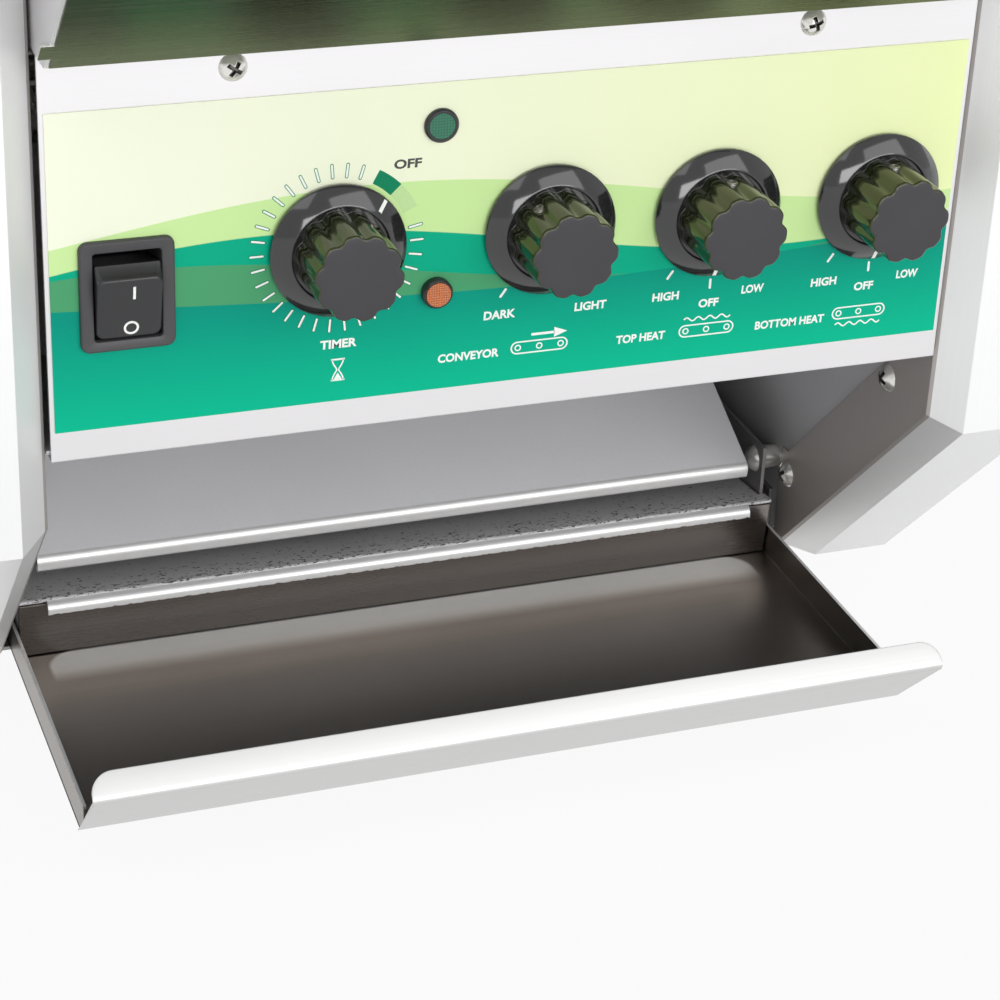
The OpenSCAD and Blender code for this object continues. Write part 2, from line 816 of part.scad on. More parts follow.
module discharge_ramp() {
    u = [cos(chute_slope), sin(chute_slope)];
    front = [chute_y, chute_z];
    path = [front + [3.2, -3.4], front + [0.6, -3.2], front, [chute_rear_y, chute_rear_z]];
    color("darkgray") placed() difference() {
        along_x(bent(backwards(path), sheet_t), -inner_half, inner_half);
        both_sides()
            block([chute_half, 0, 0], [body_half, chute_wide_y, chute_rear_z]);
    }
}

module landing_tray() {
    run = tray_front_run;
    bend = [tray_front_y - run, tray_z + run];
    edge = bend + tray_flange * [0.68, 0.73];
    front = [[tray_front_y + 30, tray_z], [tray_front_y, tray_z], bend, edge];
    corner = 6;
    color("silver") placed() difference() {
        union() {
            block([-tray_half, tray_front_y + 30 - eps, tray_z], [tray_half, tray_rear_y, tray_z + tray_t]);
            along_x(bent(backwards(front), tray_t), -tray_half - 1, tray_half + 1);
            // Side walls, cut at a slant in front.
            both_sides() along_x([[tray_front_y - 0.5, tray_z + 0.4], [tray_rear_y, tray_z],
                [tray_rear_y, tray_z + tray_wall], [tray_front_y - 6, tray_z + tray_wall],
                [tray_front_y - 6, tray_z + 5.8]],
                tray_half - tray_t, tray_half);
            block([16 - tray_half, tray_rear_y - tray_t, tray_z - 5],
                [tray_half - 16, tray_rear_y, tray_z + eps]);
        }
        // The front is 1 mm wider than the floor on each side, from the slope on.
        both_sides() block([tray_half, tray_front_y - 1, 0], [body_half, tray_rear_y, tray_z + 40]);
        // Round corners of the front flange.
        both_sides() translate([tray_half + 1, 0, 0]) tray_corner(bend, edge, corner);
    }
}

// What is cut away at a corner of the tray's front flange, in the plane of the flange.
module tray_corner(bend, edge, r) {
    u = (edge - bend) / norm(edge - bend);
    n = [-u[1], u[0]];
    o = edge - 2 * n;
    multmatrix([
        [-1, 0, 0, 0],
        [0, -u[0], n[0], o[0]],
        [0, -u[1], n[1], o[1]],
        [0, 0, 0, 1]])
        linear_extrude(5) difference() {
            translate([-cut, -cut]) square([r + cut, r + cut]);
            translate([r, r]) circle(r = r);
        }
}

module crumb_tray() {
    t = tray_t;
    crest = [crumb_crest_y, crumb_crest_z];
    ledge = crest + [31, -3.4];
    foot = [crumb_crest_y + 46, crumb_z + t];
    path = [crest + [-2.6, -4.3], crest + [-2.5, -2.4], crest + [-1.6, -0.8], crest,
        ledge, foot, [crumb_rear_y, crumb_z + t]];
    color("gray") placed() difference() {
        union() {
            along_x(bent(path, -t), -crumb_front_half, crumb_front_half);
            // Front wall, set back under the lip.
            block([-lip_half, crest[0] + 2.8, tray_z + tray_t + clear],
                [lip_half, crest[0] + 2.8 + t, crest[1] - t]);
            both_sides() block([crumb_half - t, foot[0] - 8, crumb_z + 0.2],
                [crumb_half, crumb_rear_y, crumb_z + 12]);
            block([-crumb_half, crumb_rear_y - t, crumb_z],
                [crumb_half, crumb_rear_y, crumb_z + 12]);
        }
        // The turned-down lip is narrower than the crest behind it.
        both_sides() block([lip_half, 0, 0], [body_half, crest[0] - 1.2, crest[1] + cut]);
        // Inside the pan the tray is narrower than its front.
        both_sides() block([crumb_half, pan_y - 0.3, 0], [body_half, crumb_rear_y + cut, crest[1] + cut]);
    }
}

// Angle rails under the edges of the landing tray.
module tray_runners() {
    top = tray_z - 0.2;
    profile = [[frame_x - 0.1, top - sheet_t], [frame_x - 0.1, tray_z + tray_wall + 8],
        [frame_x - 0.1 - sheet_t, tray_z + tray_wall + 8], [frame_x - 0.1 - sheet_t, top],
        [tray_half - 12, top], [tray_half - 12, top - sheet_t]];
    color("darkgray") placed() both_sides() along_y(profile, pan_y + 6, tray_rear_y + 64);
}

// ---- controls ---------------------------------------------------------------------

module knob() {
    bore_l = 14;
    color("#222222") difference() {
        union() {
            rotate_extrude() polygon([[0, knob_gap], [skirt_r, knob_gap],
                [skirt_r, knob_gap + 0.9], [collar_r, knob_gap + skirt_h],
                [collar_r - 0.8, knob_gap + skirt_h - 1.2], [0, knob_gap + skirt_h - 1.2]]);
            difference() {
                translate([0, 0, knob_gap + 0.5]) cylinder(r = grip_r, h = knob_out - knob_gap - 0.5);
                for (i = [0:flutes - 1]) rotate((i + 0.5) * 360 / flutes)
                    translate([grip_r + 2.6, 0, knob_gap + skirt_h - 1.2])
                        cylinder(r = 3.5, h = knob_out);
            }
        }
        translate([0, 0, -cut]) cylinder(r = spindle_r + eps, h = bore_l + cut);
    }
}

module timer_knob() {
    placed() on_panel(timer_x, knob_z) knob();
}

module speed_knob() {
    placed() on_panel(speed_knob_x, knob_z) knob();
}

module top_heat_knob() {
    placed() on_panel(top_heat_x, knob_z) knob();
}

module bottom_heat_knob() {
    placed() on_panel(bottom_heat_x, knob_z) knob();
}

module spindle(x) {
    color("silver") placed() on_panel(x, knob_z)
        translate([0, 0, -12]) cylinder(r = spindle_r, h = 12 + 13);
}

module timer_spindle() {
    spindle(timer_x);
}

module speed_spindle() {
    spindle(speed_knob_x);
}

module top_heat_spindle() {
    spindle(top_heat_x);
}

module bottom_heat_spindle() {
    spindle(bottom_heat_x);
}

// Body of a rotary control behind the panel, with the bush that its spindle turns in.
module rotary_body(w, h, depth) {
    difference() {
        union() {
            translate([-w / 2, -h / 2, -sheet_t - depth]) cube([w, h, depth]);
            translate([0, 0, -sheet_t - 1])
                cylinder(r = control_bush_r - running, h = sheet_t + 1 + knob_gap - 0.3);
        }
        translate([0, 0, -12 - 0.1]) cylinder(r = spindle_r + running, h = 20);
    }
}

module timer_body() {
    color("beige") placed() on_panel(timer_x, knob_z) rotary_body(42, 42, 44);
}

module speed_control() {
    color("darkslateblue") placed() on_panel(speed_knob_x, knob_z) rotary_body(28, 28, 16);
}

module top_heat_switch() {
    color("beige") placed() on_panel(top_heat_x, knob_z) rotary_body(34, 40, 32);
}

module bottom_heat_switch() {
    color("beige") placed() on_panel(bottom_heat_x, knob_z) rotary_body(34, 40, 32);
}

rocker_frame_t = 2;
rocker_body_w = 22;
rocker_body_h = 29.6;
rocker_pivot = 11;
rocker_pin_r = 1.2;
rocker_half = rocker_hole_h / 2 - 3.65;
rocker_face = rocker_pivot + rocker_frame_t + 2;
rocker_end_r = norm([rocker_pivot, rocker_hole_h / 2]) - 0.42;
rocker_pocket = 28;
rocker_depth = rocker_pivot + 6.5;

module rocker_frame() {
    color("#2b2b2e") placed() difference() {
        union() {
            on_panel(rocker_x, rocker_z) translate([0, 0, print_t])
                round_plate(rocker_frame_w, rocker_frame_h, 2, rocker_frame_t - print_t);
            on_panel(rocker_x, rocker_z)
                translate([-rocker_body_w / 2 + clear, -rocker_body_h / 2 + clear, -20])
                    cube([rocker_body_w - 2 * clear, rocker_body_h - 2 * clear, 20 + print_t + eps]);
        }
        on_panel(rocker_x, rocker_z) translate([0, 0, -1])
            round_plate(rocker_hole_w, rocker_hole_h, 0.6, 30);
        // Behind its opening the frame is wider, for the ends of the rocker.
        on_panel(rocker_x, rocker_z)
            translate([-rocker_hole_w / 2, -rocker_pocket / 2, -rocker_depth])
                cube([rocker_hole_w, rocker_pocket, rocker_depth - 0.1]);
        rod_x(rocker_pin_r + running, rocker_x - 10.5, rocker_x + 10.5, rocker_pivot, rocker_z);
    }
}

// Outline of the rocker about its pin: a flat face, and ends that turn about the pin.
function rocker_outline() =
    let (end = arc([0, 0], rocker_end_r, 180 - 37, 180 - 46, 4))
    concat([[3, -5], [3, 5]], backwards(end),
        [[-rocker_face + 0.7, rocker_half + 0.7], [-rocker_face, rocker_half]],
        [[-rocker_face, -rocker_half], [-rocker_face + 0.7, -rocker_half - 0.7]],
        [for (p = end) [p[0], -p[1]]]);

// The rocker rests with its lower half pressed in.
module rocker() {
    w = rocker_hole_w - 0.7;
    color("#2b2b2e") placed() translate([rocker_x, rocker_pivot, rocker_z])
        rotate([rocker_tilt, 0, 0]) {
            along_x(rocker_outline(), -w / 2, w / 2);
            rod_x(rocker_pin_r, -rocker_hole_w / 2 - 1, rocker_hole_w / 2 + 1, 0, 0);
        }
}

module lamp_bezels() {
    color("#222222") placed() {
        lamp_bezel(green_z, 4.75, 1.4);
        lamp_bezel(amber_z, 4.3, 2.6);
    }
}

green_lens_r = 3.65;
amber_lens_r = 3.55;

module lamp_bezel(z, r, proud) {
    lens = z == green_z ? green_lens_r : amber_lens_r;
    on_panel(lamp_x, z) difference() {
        union() {
            rotate_extrude() polygon([[0, print_t], [r, print_t], [r, print_t + proud - 0.5],
                [r - 0.5, print_t + proud], [0, print_t + proud]]);
            translate([0, 0, -18]) cylinder(r = lamp_body_r, h = 18 + print_t + eps);
        }
        translate([0, 0, print_t + 0.4]) cylinder(r = lens, h = 9);
    }
}

module green_lens() {
    color("seagreen") placed() on_panel(lamp_x, green_z)
        translate([0, 0, print_t + 0.4]) cylinder(r = green_lens_r - running, h = 0.9);
}

module amber_lens() {
    color("orangered") placed() on_panel(lamp_x, amber_z)
        translate([0, 0, print_t + 0.4]) cylinder(r = amber_lens_r - running, h = 2.4);
}

module control_board() {
    y = shelf_y - 6;
    z0 = panel_bottom + 8;
    color("darkgreen") placed() {
        block([-10, y, z0], [90, y + 1.6, z0 + 62]);
        block([0, y - 12, z0 + 8], [26, y + eps, z0 + 34]);
        block([50, y - 8, z0 + 30], [80, y + eps, z0 + 52]);
        for (x = [-6, 86], z = [z0 + 4, z0 + 58])
            rod_y(2, y + 1.6 - eps, shelf_y - sheet_t, x, z);
    }
}

// ---- cooling fan and cord entry ----------------------------------------------------

fan_x = -50;
fan_z = 78;
fan_size = 80;
fan_bore = 37;
fan_depth = 25;
fan_y = rear_y - sheet_t - fan_depth - 0.1;
fan_pin_r = 2;

module fan_frame() {
    color("#222222") placed() {
        difference() {
            translate([fan_x, fan_y, fan_z]) rotate([-90, 0, 0])
                round_plate(fan_size, fan_size, 4, fan_depth);
            rod_y(fan_bore + 1, fan_y - cut, fan_y + fan_depth + cut, fan_x, fan_z);
        }
        rod_y(17, fan_y, fan_y + 3, fan_x, fan_z);
        rod_y(fan_pin_r, fan_y + 3 - eps, fan_y + 18, fan_x, fan_z);
        for (a = [45, 165, 285])
            translate([fan_x, fan_y, fan_z]) rotate([0, a, 0])
                block([10, 0.4, -2], [fan_bore + 2, 2.6, 2]);
    }
}

module fan_rotor() {
    color("#333333") placed() difference() {
        union() {
            rod_y(18, fan_y + 4, fan_y + 22, fan_x, fan_z);
            for (i = [0:6])
                translate([fan_x, fan_y + 13, fan_z]) rotate([0, i * 360 / 7, 0]) rotate([35, 0, 0])
                    block([16, -0.8, -9], [fan_bore - 2.5, 0.8, 9]);
        }
        rod_y(fan_pin_r + running, fan_y + 3, fan_y + 18.2, fan_x, fan_z);
    }
}

gland_x = 95;
gland_z = 60;
gland_neck = 8;
gland_bore = 4.5;

module cord_gland() {
    color("black") placed() difference() {
        union() {
            rod_y(gland_neck, rear_y - sheet_t - 8, rear_y + eps, gland_x, gland_z);
            rod_y(gland_neck + 2.5, rear_y, rear_y + gland_out, gland_x, gland_z);
            rod_y(gland_neck + 2, rear_y - sheet_t - 6, rear_y - sheet_t - 0.05, gland_x, gland_z);
        }
        rod_y(gland_bore, rear_y - 20, rear_y + 20, gland_x, gland_z);
    }
}

side_cover_left();
side_cover_right();
side_frame_left();
side_frame_right();
base_pan();
top_cover();
rear_cover();
control_panel();
control_shelf();
panel_overlay();
panel_screws();
feed_ramp();
feed_cheek_left();
feed_cheek_right();
front_hood();
cover_screws();
pan_spacers();
conveyor_belt();
idler_shaft();
drive_shaft();
idler_wheels();
drive_wheels();
shaft_bushes();
drive_chain();
driven_sprocket();
motor_sprocket();
gear_motor();
top_elements();
bottom_elements();
element_insulators();
top_reflector();
bottom_reflector();
rear_deflector();
discharge_ramp();
crumb_tray();
landing_tray();
tray_runners();
timer_knob();
speed_knob();
top_heat_knob();
bottom_heat_knob();
timer_spindle();
speed_spindle();
top_heat_spindle();
bottom_heat_spindle();
timer_body();
speed_control();
top_heat_switch();
bottom_heat_switch();
rocker_frame();
rocker();
lamp_bezels();
green_lens();
amber_lens();
fan_frame();
fan_rotor();
control_board();
cord_gland();
feet();
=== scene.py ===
"""Looks for a countertop conveyor toaster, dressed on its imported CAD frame.

Every place is given in millimetres from the middle of the machine (x), from the front
face of the control panel (y, towards the rear) and from the table (z). Panel turns such a
place into the frame's metres.
"""

from __future__ import annotations

import json
import logging
import math
from dataclasses import dataclass
from enum import Enum
from typing import Callable, Sequence

import bmesh
import bpy
from mathutils import Matrix, Vector

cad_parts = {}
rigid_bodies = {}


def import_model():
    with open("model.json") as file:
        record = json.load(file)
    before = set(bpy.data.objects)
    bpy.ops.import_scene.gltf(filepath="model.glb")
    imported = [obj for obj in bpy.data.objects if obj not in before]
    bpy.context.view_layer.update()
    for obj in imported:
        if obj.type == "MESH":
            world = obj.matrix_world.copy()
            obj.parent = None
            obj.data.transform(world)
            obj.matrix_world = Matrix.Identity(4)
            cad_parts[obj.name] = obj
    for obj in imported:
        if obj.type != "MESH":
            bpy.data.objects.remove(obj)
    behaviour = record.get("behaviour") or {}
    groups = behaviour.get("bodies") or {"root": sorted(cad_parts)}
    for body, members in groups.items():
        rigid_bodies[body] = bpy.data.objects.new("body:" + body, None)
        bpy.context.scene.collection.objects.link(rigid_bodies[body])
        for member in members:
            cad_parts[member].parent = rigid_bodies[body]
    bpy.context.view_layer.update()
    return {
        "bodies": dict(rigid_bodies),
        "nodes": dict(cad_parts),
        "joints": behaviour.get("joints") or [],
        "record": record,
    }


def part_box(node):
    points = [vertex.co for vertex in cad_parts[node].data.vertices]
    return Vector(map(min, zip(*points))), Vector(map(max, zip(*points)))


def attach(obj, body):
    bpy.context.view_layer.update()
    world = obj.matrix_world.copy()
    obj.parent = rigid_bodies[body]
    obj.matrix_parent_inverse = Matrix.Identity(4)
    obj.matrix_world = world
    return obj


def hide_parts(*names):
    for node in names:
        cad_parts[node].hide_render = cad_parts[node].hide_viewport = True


LOG = logging.getLogger("toaster")
Point = tuple[float, float, float]
Colour = tuple[float, float, float]


def srgb(code: str) -> Colour:
    """Turn a hex colour into linear values.

    Args:
        code: Six hex digits.

    Returns:
        Linear red, green and blue.
    """
    parts = [int(code[i : i + 2], 16) / 255 for i in (0, 2, 4)]
    return tuple(p / 12.92 if p <= 0.04045 else ((p + 0.055) / 1.055) ** 2.4 for p in parts)


class Panel:
    """The place of the control panel's front face, from which the front is measured."""

    y0 = 0.0

    @classmethod
    def settle(cls) -> None:
        """Read the panel's front face from the frame."""
        cls.y0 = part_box("control_panel")[0].y

    @classmethod
    def at(cls, x: float, y: float, z: float) -> Vector:
        """Place in the frame, in metres, of a point given in millimetres."""
        return Vector((x / 1000, cls.y0 + y / 1000, z / 1000))


# --- node helpers --------------------------------------------------------------------


class Wiring:
    """Adds and joins shader nodes in a material."""

    def __init__(self, name: str) -> None:
        """Start an empty material called name."""
        self.material = bpy.data.materials.new(name)
        self.material.use_nodes = True
        self.tree = self.material.node_tree
        self.tree.nodes.clear()
        self.out = self.add("ShaderNodeOutputMaterial")
        self.shader = self.add("ShaderNodeBsdfPrincipled")
        self.join(self.shader.outputs[0], self.out.inputs["Surface"])
        self.where = self.add("ShaderNodeTexCoord").outputs["Object"]

    def add(self, kind: str, **values: object) -> bpy.types.Node:
        """Add a node of a kind and set its plain properties."""
        node = self.tree.nodes.new(kind)
        for key, value in values.items():
            setattr(node, key, value)
        return node

    def join(self, source: bpy.types.NodeSocket, target: bpy.types.NodeSocket) -> None:
        """Link two sockets."""
        self.tree.links.new(source, target)

    def feed(self, socket: bpy.types.NodeSocket, value: object) -> None:
        """Link a socket, or set its value when the value is a plain one."""
        if isinstance(value, bpy.types.NodeSocket):
            self.join(value, socket)
        else:
            socket.default_value = value

    def math(self, op: str, a: object, b: object = None, c: object = None) -> bpy.types.NodeSocket:
        """Do arithmetic on sockets or numbers.

        Args:
            op: Name of the operation.
            a: First value.
            b: Second value, where the operation has one.
            c: Third value, where the operation has one.

        Returns:
            The result.
        """
        node = self.add("ShaderNodeMath", operation=op)
        for socket, value in zip(node.inputs, (a, b, c)):
            if value is not None:
                self.feed(socket, value)
        return node.outputs[0]

    def stretched(self, scale: Point) -> bpy.types.NodeSocket:
        """Object coordinates multiplied by a scale."""
        node = self.add("ShaderNodeMapping")
        self.join(self.where, node.inputs["Vector"])
        node.inputs["Scale"].default_value = scale
        return node.outputs[0]

    def noise(self, scale: Point, detail: float = 2.0, rough: float = 0.5) -> bpy.types.NodeSocket:
        """Noise at a number of features per metre along each axis."""
        node = self.add("ShaderNodeTexNoise")
        self.join(self.stretched(scale), node.inputs["Vector"])
        node.inputs["Scale"].default_value = 1.0
        node.inputs["Detail"].default_value = detail
        node.inputs["Roughness"].default_value = rough
        return node.outputs["Fac"]

    def spread(self, value: object, low: float, high: float) -> bpy.types.NodeSocket:
        """Map the middle half of a noise onto a range, clamped."""
        node = self.add("ShaderNodeMapRange")
        self.feed(node.inputs["Value"], value)
        node.inputs["From Min"].default_value = 0.25
        node.inputs["From Max"].default_value = 0.75
        node.inputs["To Min"].default_value = low
        node.inputs["To Max"].default_value = high
        return node.outputs[0]

    def mix(self, factor: object, a: object, b: object) -> bpy.types.NodeSocket:
        """Mix two colours."""
        node = self.add("ShaderNodeMix", data_type="RGBA")
        self.feed(node.inputs[0], factor)
        for socket, value in ((node.inputs[6], a), (node.inputs[7], b)):
            self.feed(socket, (*value, 1.0) if isinstance(value, tuple) and len(value) == 3 else value)
        return node.outputs[2]

    def bump(self, height: object, depth: float, base: object = None) -> bpy.types.NodeSocket:
        """Normal bent by a height of a real depth in metres."""
        node = self.add("ShaderNodeBump")
        node.inputs["Strength"].default_value = 1.0
        node.inputs["Distance"].default_value = depth
        self.feed(node.inputs["Height"], height)
        if base is not None:
            self.join(base, node.inputs["Normal"])
        return node.outputs[0]

    def rounded(self, radius: float) -> bpy.types.NodeSocket:
        """Normal that rounds sharp edges."""
        node = self.add("ShaderNodeBevel", samples=4)
        node.inputs["Radius"].default_value = radius
        return node.outputs[0]

    def set(self, **sockets: object) -> None:
        """Set or link inputs of the shader by name, with _ for a space."""
        for key, value in sockets.items():
            self.feed(self.shader.inputs[key.replace("_", " ")], value)


# --- finishes ------------------------------------------------------------------------


class Grain(Enum):
    """Which way the brushing of a sheet runs."""

    ALONG_X = (6.0, 1500.0, 1500.0)
    ALONG_Y = (1500.0, 6.0, 1500.0)
    ALONG_Z = (1500.0, 1500.0, 6.0)
    EVEN = (1100.0, 1100.0, 1100.0)


@dataclass(frozen=True)
class SteelSheet:
    """Rolled or brushed sheet metal."""

    name: str
    colour: Colour
    roughness: float
    grain: Grain = Grain.EVEN
    streak: float = 0.06
    stain: float = 0.03
    edge: float = 0.0004
    metal: float = 1.0

    def build(self) -> bpy.types.Material:
        """Make the material."""
        w = Wiring(self.name)
        fine = w.noise(self.grain.value, 3.0, 0.6)
        cloud = w.noise((14.0, 14.0, 14.0), 3.0, 0.6)
        dark = tuple(c * (1 - 2.2 * self.stain) for c in self.colour)
        tone = w.mix(w.spread(cloud, 0.0, 1.0), dark, self.colour)
        line = tuple(c * (1 - 1.2 * self.streak) for c in self.colour)
        base = self.tint(w, w.mix(w.math("MULTIPLY", w.spread(fine, 0.0, 1.0), 0.6), tone, line))
        rough = w.math(
            "ADD",
            w.spread(fine, self.roughness - self.streak, self.roughness + self.streak),
            w.spread(cloud, -self.stain, self.stain),
        )
        normal = w.bump(fine, 0.0000035 + self.streak * 0.00002, w.rounded(self.edge))
        w.set(Base_Color=base, Metallic=self.shine(w), Roughness=rough, Normal=normal)
        return w.material

    def tint(self, w: Wiring, base: bpy.types.NodeSocket) -> bpy.types.NodeSocket:
        """Colour of the sheet at each place."""
        return base

    def shine(self, w: Wiring) -> object:
        """How far the sheet is bare metal at each place."""
        return self.metal


@dataclass(frozen=True)
class ShadedCoverSheet(SteelSheet):
    """Sheet of the side covers, darker on the faces that look inwards: painted shade and dark reflection where they sit
    in shadow.
    """

    # inner: colour of the inward faces, a painted shade
    inner: Colour = (0.46, 0.43, 0.41)
    split: float = 0.1345

    def tint(self, w: Wiring, base: bpy.types.NodeSocket) -> bpy.types.NodeSocket:
        """Painted shade tone within the split, outer tone beyond it."""
        split = w.add("ShaderNodeSeparateXYZ")
        w.join(w.where, split.inputs[0])
        within = w.math("LESS_THAN", w.math("ABSOLUTE", split.outputs[0]), self.split)
        return w.mix(within, base, self.inner)


@dataclass(frozen=True)
class ShieldSheet(SteelSheet):
    """Bright sheet whose downward faces are painted dark olive: a painted reflection of the green print in shadow."""

    # painted reflection colour of the downward faces
    painted_reflection: Colour = (0.125, 0.145, 0.085)

    def tint(self, w: Wiring, base: bpy.types.NodeSocket) -> bpy.types.NodeSocket:
        """Painted reflection: dark olive on the faces that look down."""
        split = w.add("ShaderNodeSeparateXYZ")
        w.join(w.add("ShaderNodeNewGeometry").outputs["True Normal"], split.inputs[0])
        return w.mix(w.math("LESS_THAN", split.outputs[2], -0.1), base, self.painted_reflection)


@dataclass(frozen=True)
class TraySheet(SteelSheet):
    """Landing tray steel painted dark brown as shade, with a painted highlight band on the floor in front of the crumb
    tray.
    """

    # painted highlight colour of the band
    painted_highlight: Colour = (0.90, 0.89, 0.87)
    half: float = 0.120
    back: float = 0.0892
    depth: float = 0.0165
    corner: float = 0.009

    def band(self, w: Wiring) -> bpy.types.NodeSocket:
        """Mask of the painted highlight band: soft in front, crisp behind, round at its ends."""
        split = w.add("ShaderNodeSeparateXYZ")
        w.join(w.where, split.inputs[0])
        back = Panel.at(0, self.back * 1000, 0).y
        across = w.math("MAXIMUM", w.math("SUBTRACT", w.math("ABSOLUTE", split.outputs[0]), self.half - self.corner), 0.0)
        behind = w.math("MAXIMUM", w.math("SUBTRACT", split.outputs[1], back - self.corner), 0.0)
        far = w.math("SQRT", w.math("ADD", w.math("POWER", across, 2.0), w.math("POWER", behind, 2.0)))
        inside = w.add("ShaderNodeMapRange", interpolation_type="SMOOTHSTEP")
        w.join(far, inside.inputs["Value"])
        for key, value in (("From Min", self.corner * 0.9), ("From Max", self.corner * 1.1), ("To Min", 1.0), ("To Max", 0.0)):
            inside.inputs[key].default_value = value
        front = w.add("ShaderNodeMapRange", interpolation_type="SMOOTHSTEP")
        w.join(split.outputs[1], front.inputs["Value"])
        front.inputs["From Min"].default_value = back - self.depth - 0.002
        front.inputs["From Max"].default_value = back - self.depth + 0.010
        low = w.math("LESS_THAN", split.outputs[2], 0.0235)
        return w.math("MULTIPLY", w.math("MULTIPLY", inside.outputs[0], front.outputs[0]), low)

    def tint(self, w: Wiring, base: bpy.types.NodeSocket) -> bpy.types.NodeSocket:
        """Painted highlight: lighter within the band."""
        return w.mix(self.band(w), base, self.painted_highlight)

    def shine(self, w: Wiring) -> object:
        """Less metallic within the painted highlight band."""
        return w.math("SUBTRACT", self.metal, self.band(w))


@dataclass(frozen=True)
class CrumbSheet(SteelSheet):
    """Sheet with burnt crumbs caught along its front edge."""

    first: float = 87.2
    last: float = 104.0

    def tint(self, w: Wiring, base: bpy.types.NodeSocket) -> bpy.types.NodeSocket:
        """Dark specks, thickest at the front edge."""
        split = w.add("ShaderNodeSeparateXYZ")
        w.join(w.where, split.inputs[0])
        near = w.add("ShaderNodeMapRange")
        w.join(split.outputs[1], near.inputs["Value"])
        near.inputs["From Min"].default_value = Panel.at(0, self.first, 0).y
        near.inputs["From Max"].default_value = Panel.at(0, self.last, 0).y
        near.inputs["To Min"].default_value = 0.57
        near.inputs["To Max"].default_value = 0.69
        speck = w.math("GREATER_THAN", w.noise((520.0, 900.0, 900.0), 2.0, 0.7), near.outputs[0])
        return w.mix(w.math("MULTIPLY", speck, 0.85), base, (0.035, 0.030, 0.028))


@dataclass(frozen=True)
class Moulding:
    """Moulded plastic, rubber or glazed ceramic."""

    name: str
    colour: Colour
    roughness: float
    pebble: float = 0.00001
    pitch: float = 1800.0
    coat: float = 0.0
    edge: float = 0.0003
    # tint of the reflections; the grips' lime tint is a painted reflection of the print
    reflection_tint: Colour = (1.0, 1.0, 1.0)

    def build(self) -> bpy.types.Material:
        """Make the material."""
        w = Wiring(self.name)
        fine = w.noise((self.pitch,) * 3, 2.0, 0.55)
        cloud = w.noise((40.0, 40.0, 40.0), 3.0, 0.6)
        worn = tuple(min(1.0, c * 1.25 + 0.004) for c in self.colour)
        base = w.mix(w.math("MULTIPLY", w.spread(cloud, 0.0, 1.0), 0.5), self.colour, worn)
        rough = w.spread(cloud, self.roughness * 0.88, self.roughness * 1.12)
        normal = w.bump(fine, self.pebble, w.rounded(self.edge))
        w.set(Base_Color=base, Roughness=rough, Normal=normal)
        w.shader.inputs["Coat Weight"].default_value = self.coat
        w.shader.inputs["Coat Roughness"].default_value = 0.08
        w.shader.inputs["Specular Tint"].default_value = (*self.reflection_tint, 1.0)
        return w.material


@dataclass(frozen=True)
class Ink:
    """Printed colour on the panel overlay."""

    name: str
    colour: Colour

    def build(self) -> bpy.types.Material:
        """Make the material."""
        w = Wiring(self.name)
        grain = w.noise((900.0, 900.0, 900.0), 2.0, 0.5)
        base = w.mix(w.spread(grain, 0.0, 0.10), self.colour, tuple(c * 0.7 for c in self.colour))
        w.set(Base_Color=base, Roughness=w.spread(grain, 0.34, 0.42))
        w.shader.inputs["Specular IOR Level"].default_value = 0.15
        return w.material


@dataclass(frozen=True)
class Wave:
    """One printed band: everything below a wave across the panel."""

    colour: Colour
    level: float
    swing: float
    turns: float
    phase: float


@dataclass(frozen=True)
class Overlay:
    """Satin printed overlay with plain sweeping bands."""

    name: str
    left: float
    bottom: float
    width: float
    height: float
    waves: tuple[Wave, ...]

    def build(self) -> bpy.types.Material:
        """Make the material."""
        w = Wiring(self.name)
        split = w.add("ShaderNodeSeparateXYZ")
        w.join(w.where, split.inputs[0])
        u = w.math("DIVIDE", w.math("SUBTRACT", split.outputs[0], self.left), self.width)
        v = w.math("DIVIDE", w.math("SUBTRACT", split.outputs[2], self.bottom), self.height)
        tone = w.mix(w.math("POWER", u, 1.6), srgb("EFF3DD"), srgb("E8F2B6"))
        for wave in self.waves:
            angle = w.math("MULTIPLY_ADD", u, math.tau * wave.turns, math.tau * wave.phase)
            edge = w.math("MULTIPLY_ADD", w.math("SINE", angle), wave.swing, wave.level)
            inside = w.math("MULTIPLY", w.math("SUBTRACT", edge, v), 500.0)
            clamp = w.add("ShaderNodeClamp")
            w.join(inside, clamp.inputs[0])
            tone = w.mix(clamp.outputs[0], tone, wave.colour)
        low = w.math("SUBTRACT", 0.36, v)
        fade = w.add("ShaderNodeClamp")
        w.join(w.math("MULTIPLY", low, 2.6), fade.inputs[0])
        tone = w.mix(w.math("MULTIPLY", fade.outputs[0], 0.75), tone, srgb("00C494"))
        tooth = w.noise((2600.0, 2600.0, 2600.0), 2.0, 0.5)
        w.set(Base_Color=tone, Roughness=w.spread(tooth, 0.34, 0.42), Normal=w.bump(tooth, 0.000004))
        w.shader.inputs["Specular IOR Level"].default_value = 0.12
        return w.material


@dataclass(frozen=True)
class Lens:
    """Coloured lamp lens with a grid pressed into it."""

    name: str
    colour: Colour
    pitch: float
    depth: float

    def build(self) -> bpy.types.Material:
        """Make the material."""
        w = Wiring(self.name)
        split = w.add("ShaderNodeSeparateXYZ")
        w.join(w.stretched((math.tau / self.pitch,) * 3), split.inputs[0])
        grid = w.math(
            "MULTIPLY", w.math("SINE", split.outputs[0]), w.math("SINE", split.outputs[2])
        )
        cell = w.math("ABSOLUTE", grid)
        # painted shade: the lens is darker along the grid's grooves
        groove_shade = tuple(c * 0.35 for c in self.colour)
        base = w.mix(w.math("POWER", cell, 0.6), groove_shade, self.colour)
        w.set(Base_Color=base, Roughness=0.18, Normal=w.bump(cell, self.depth))
        w.shader.inputs["Coat Weight"].default_value = 0.6
        w.shader.inputs["Coat Roughness"].default_value = 0.05
        return w.material


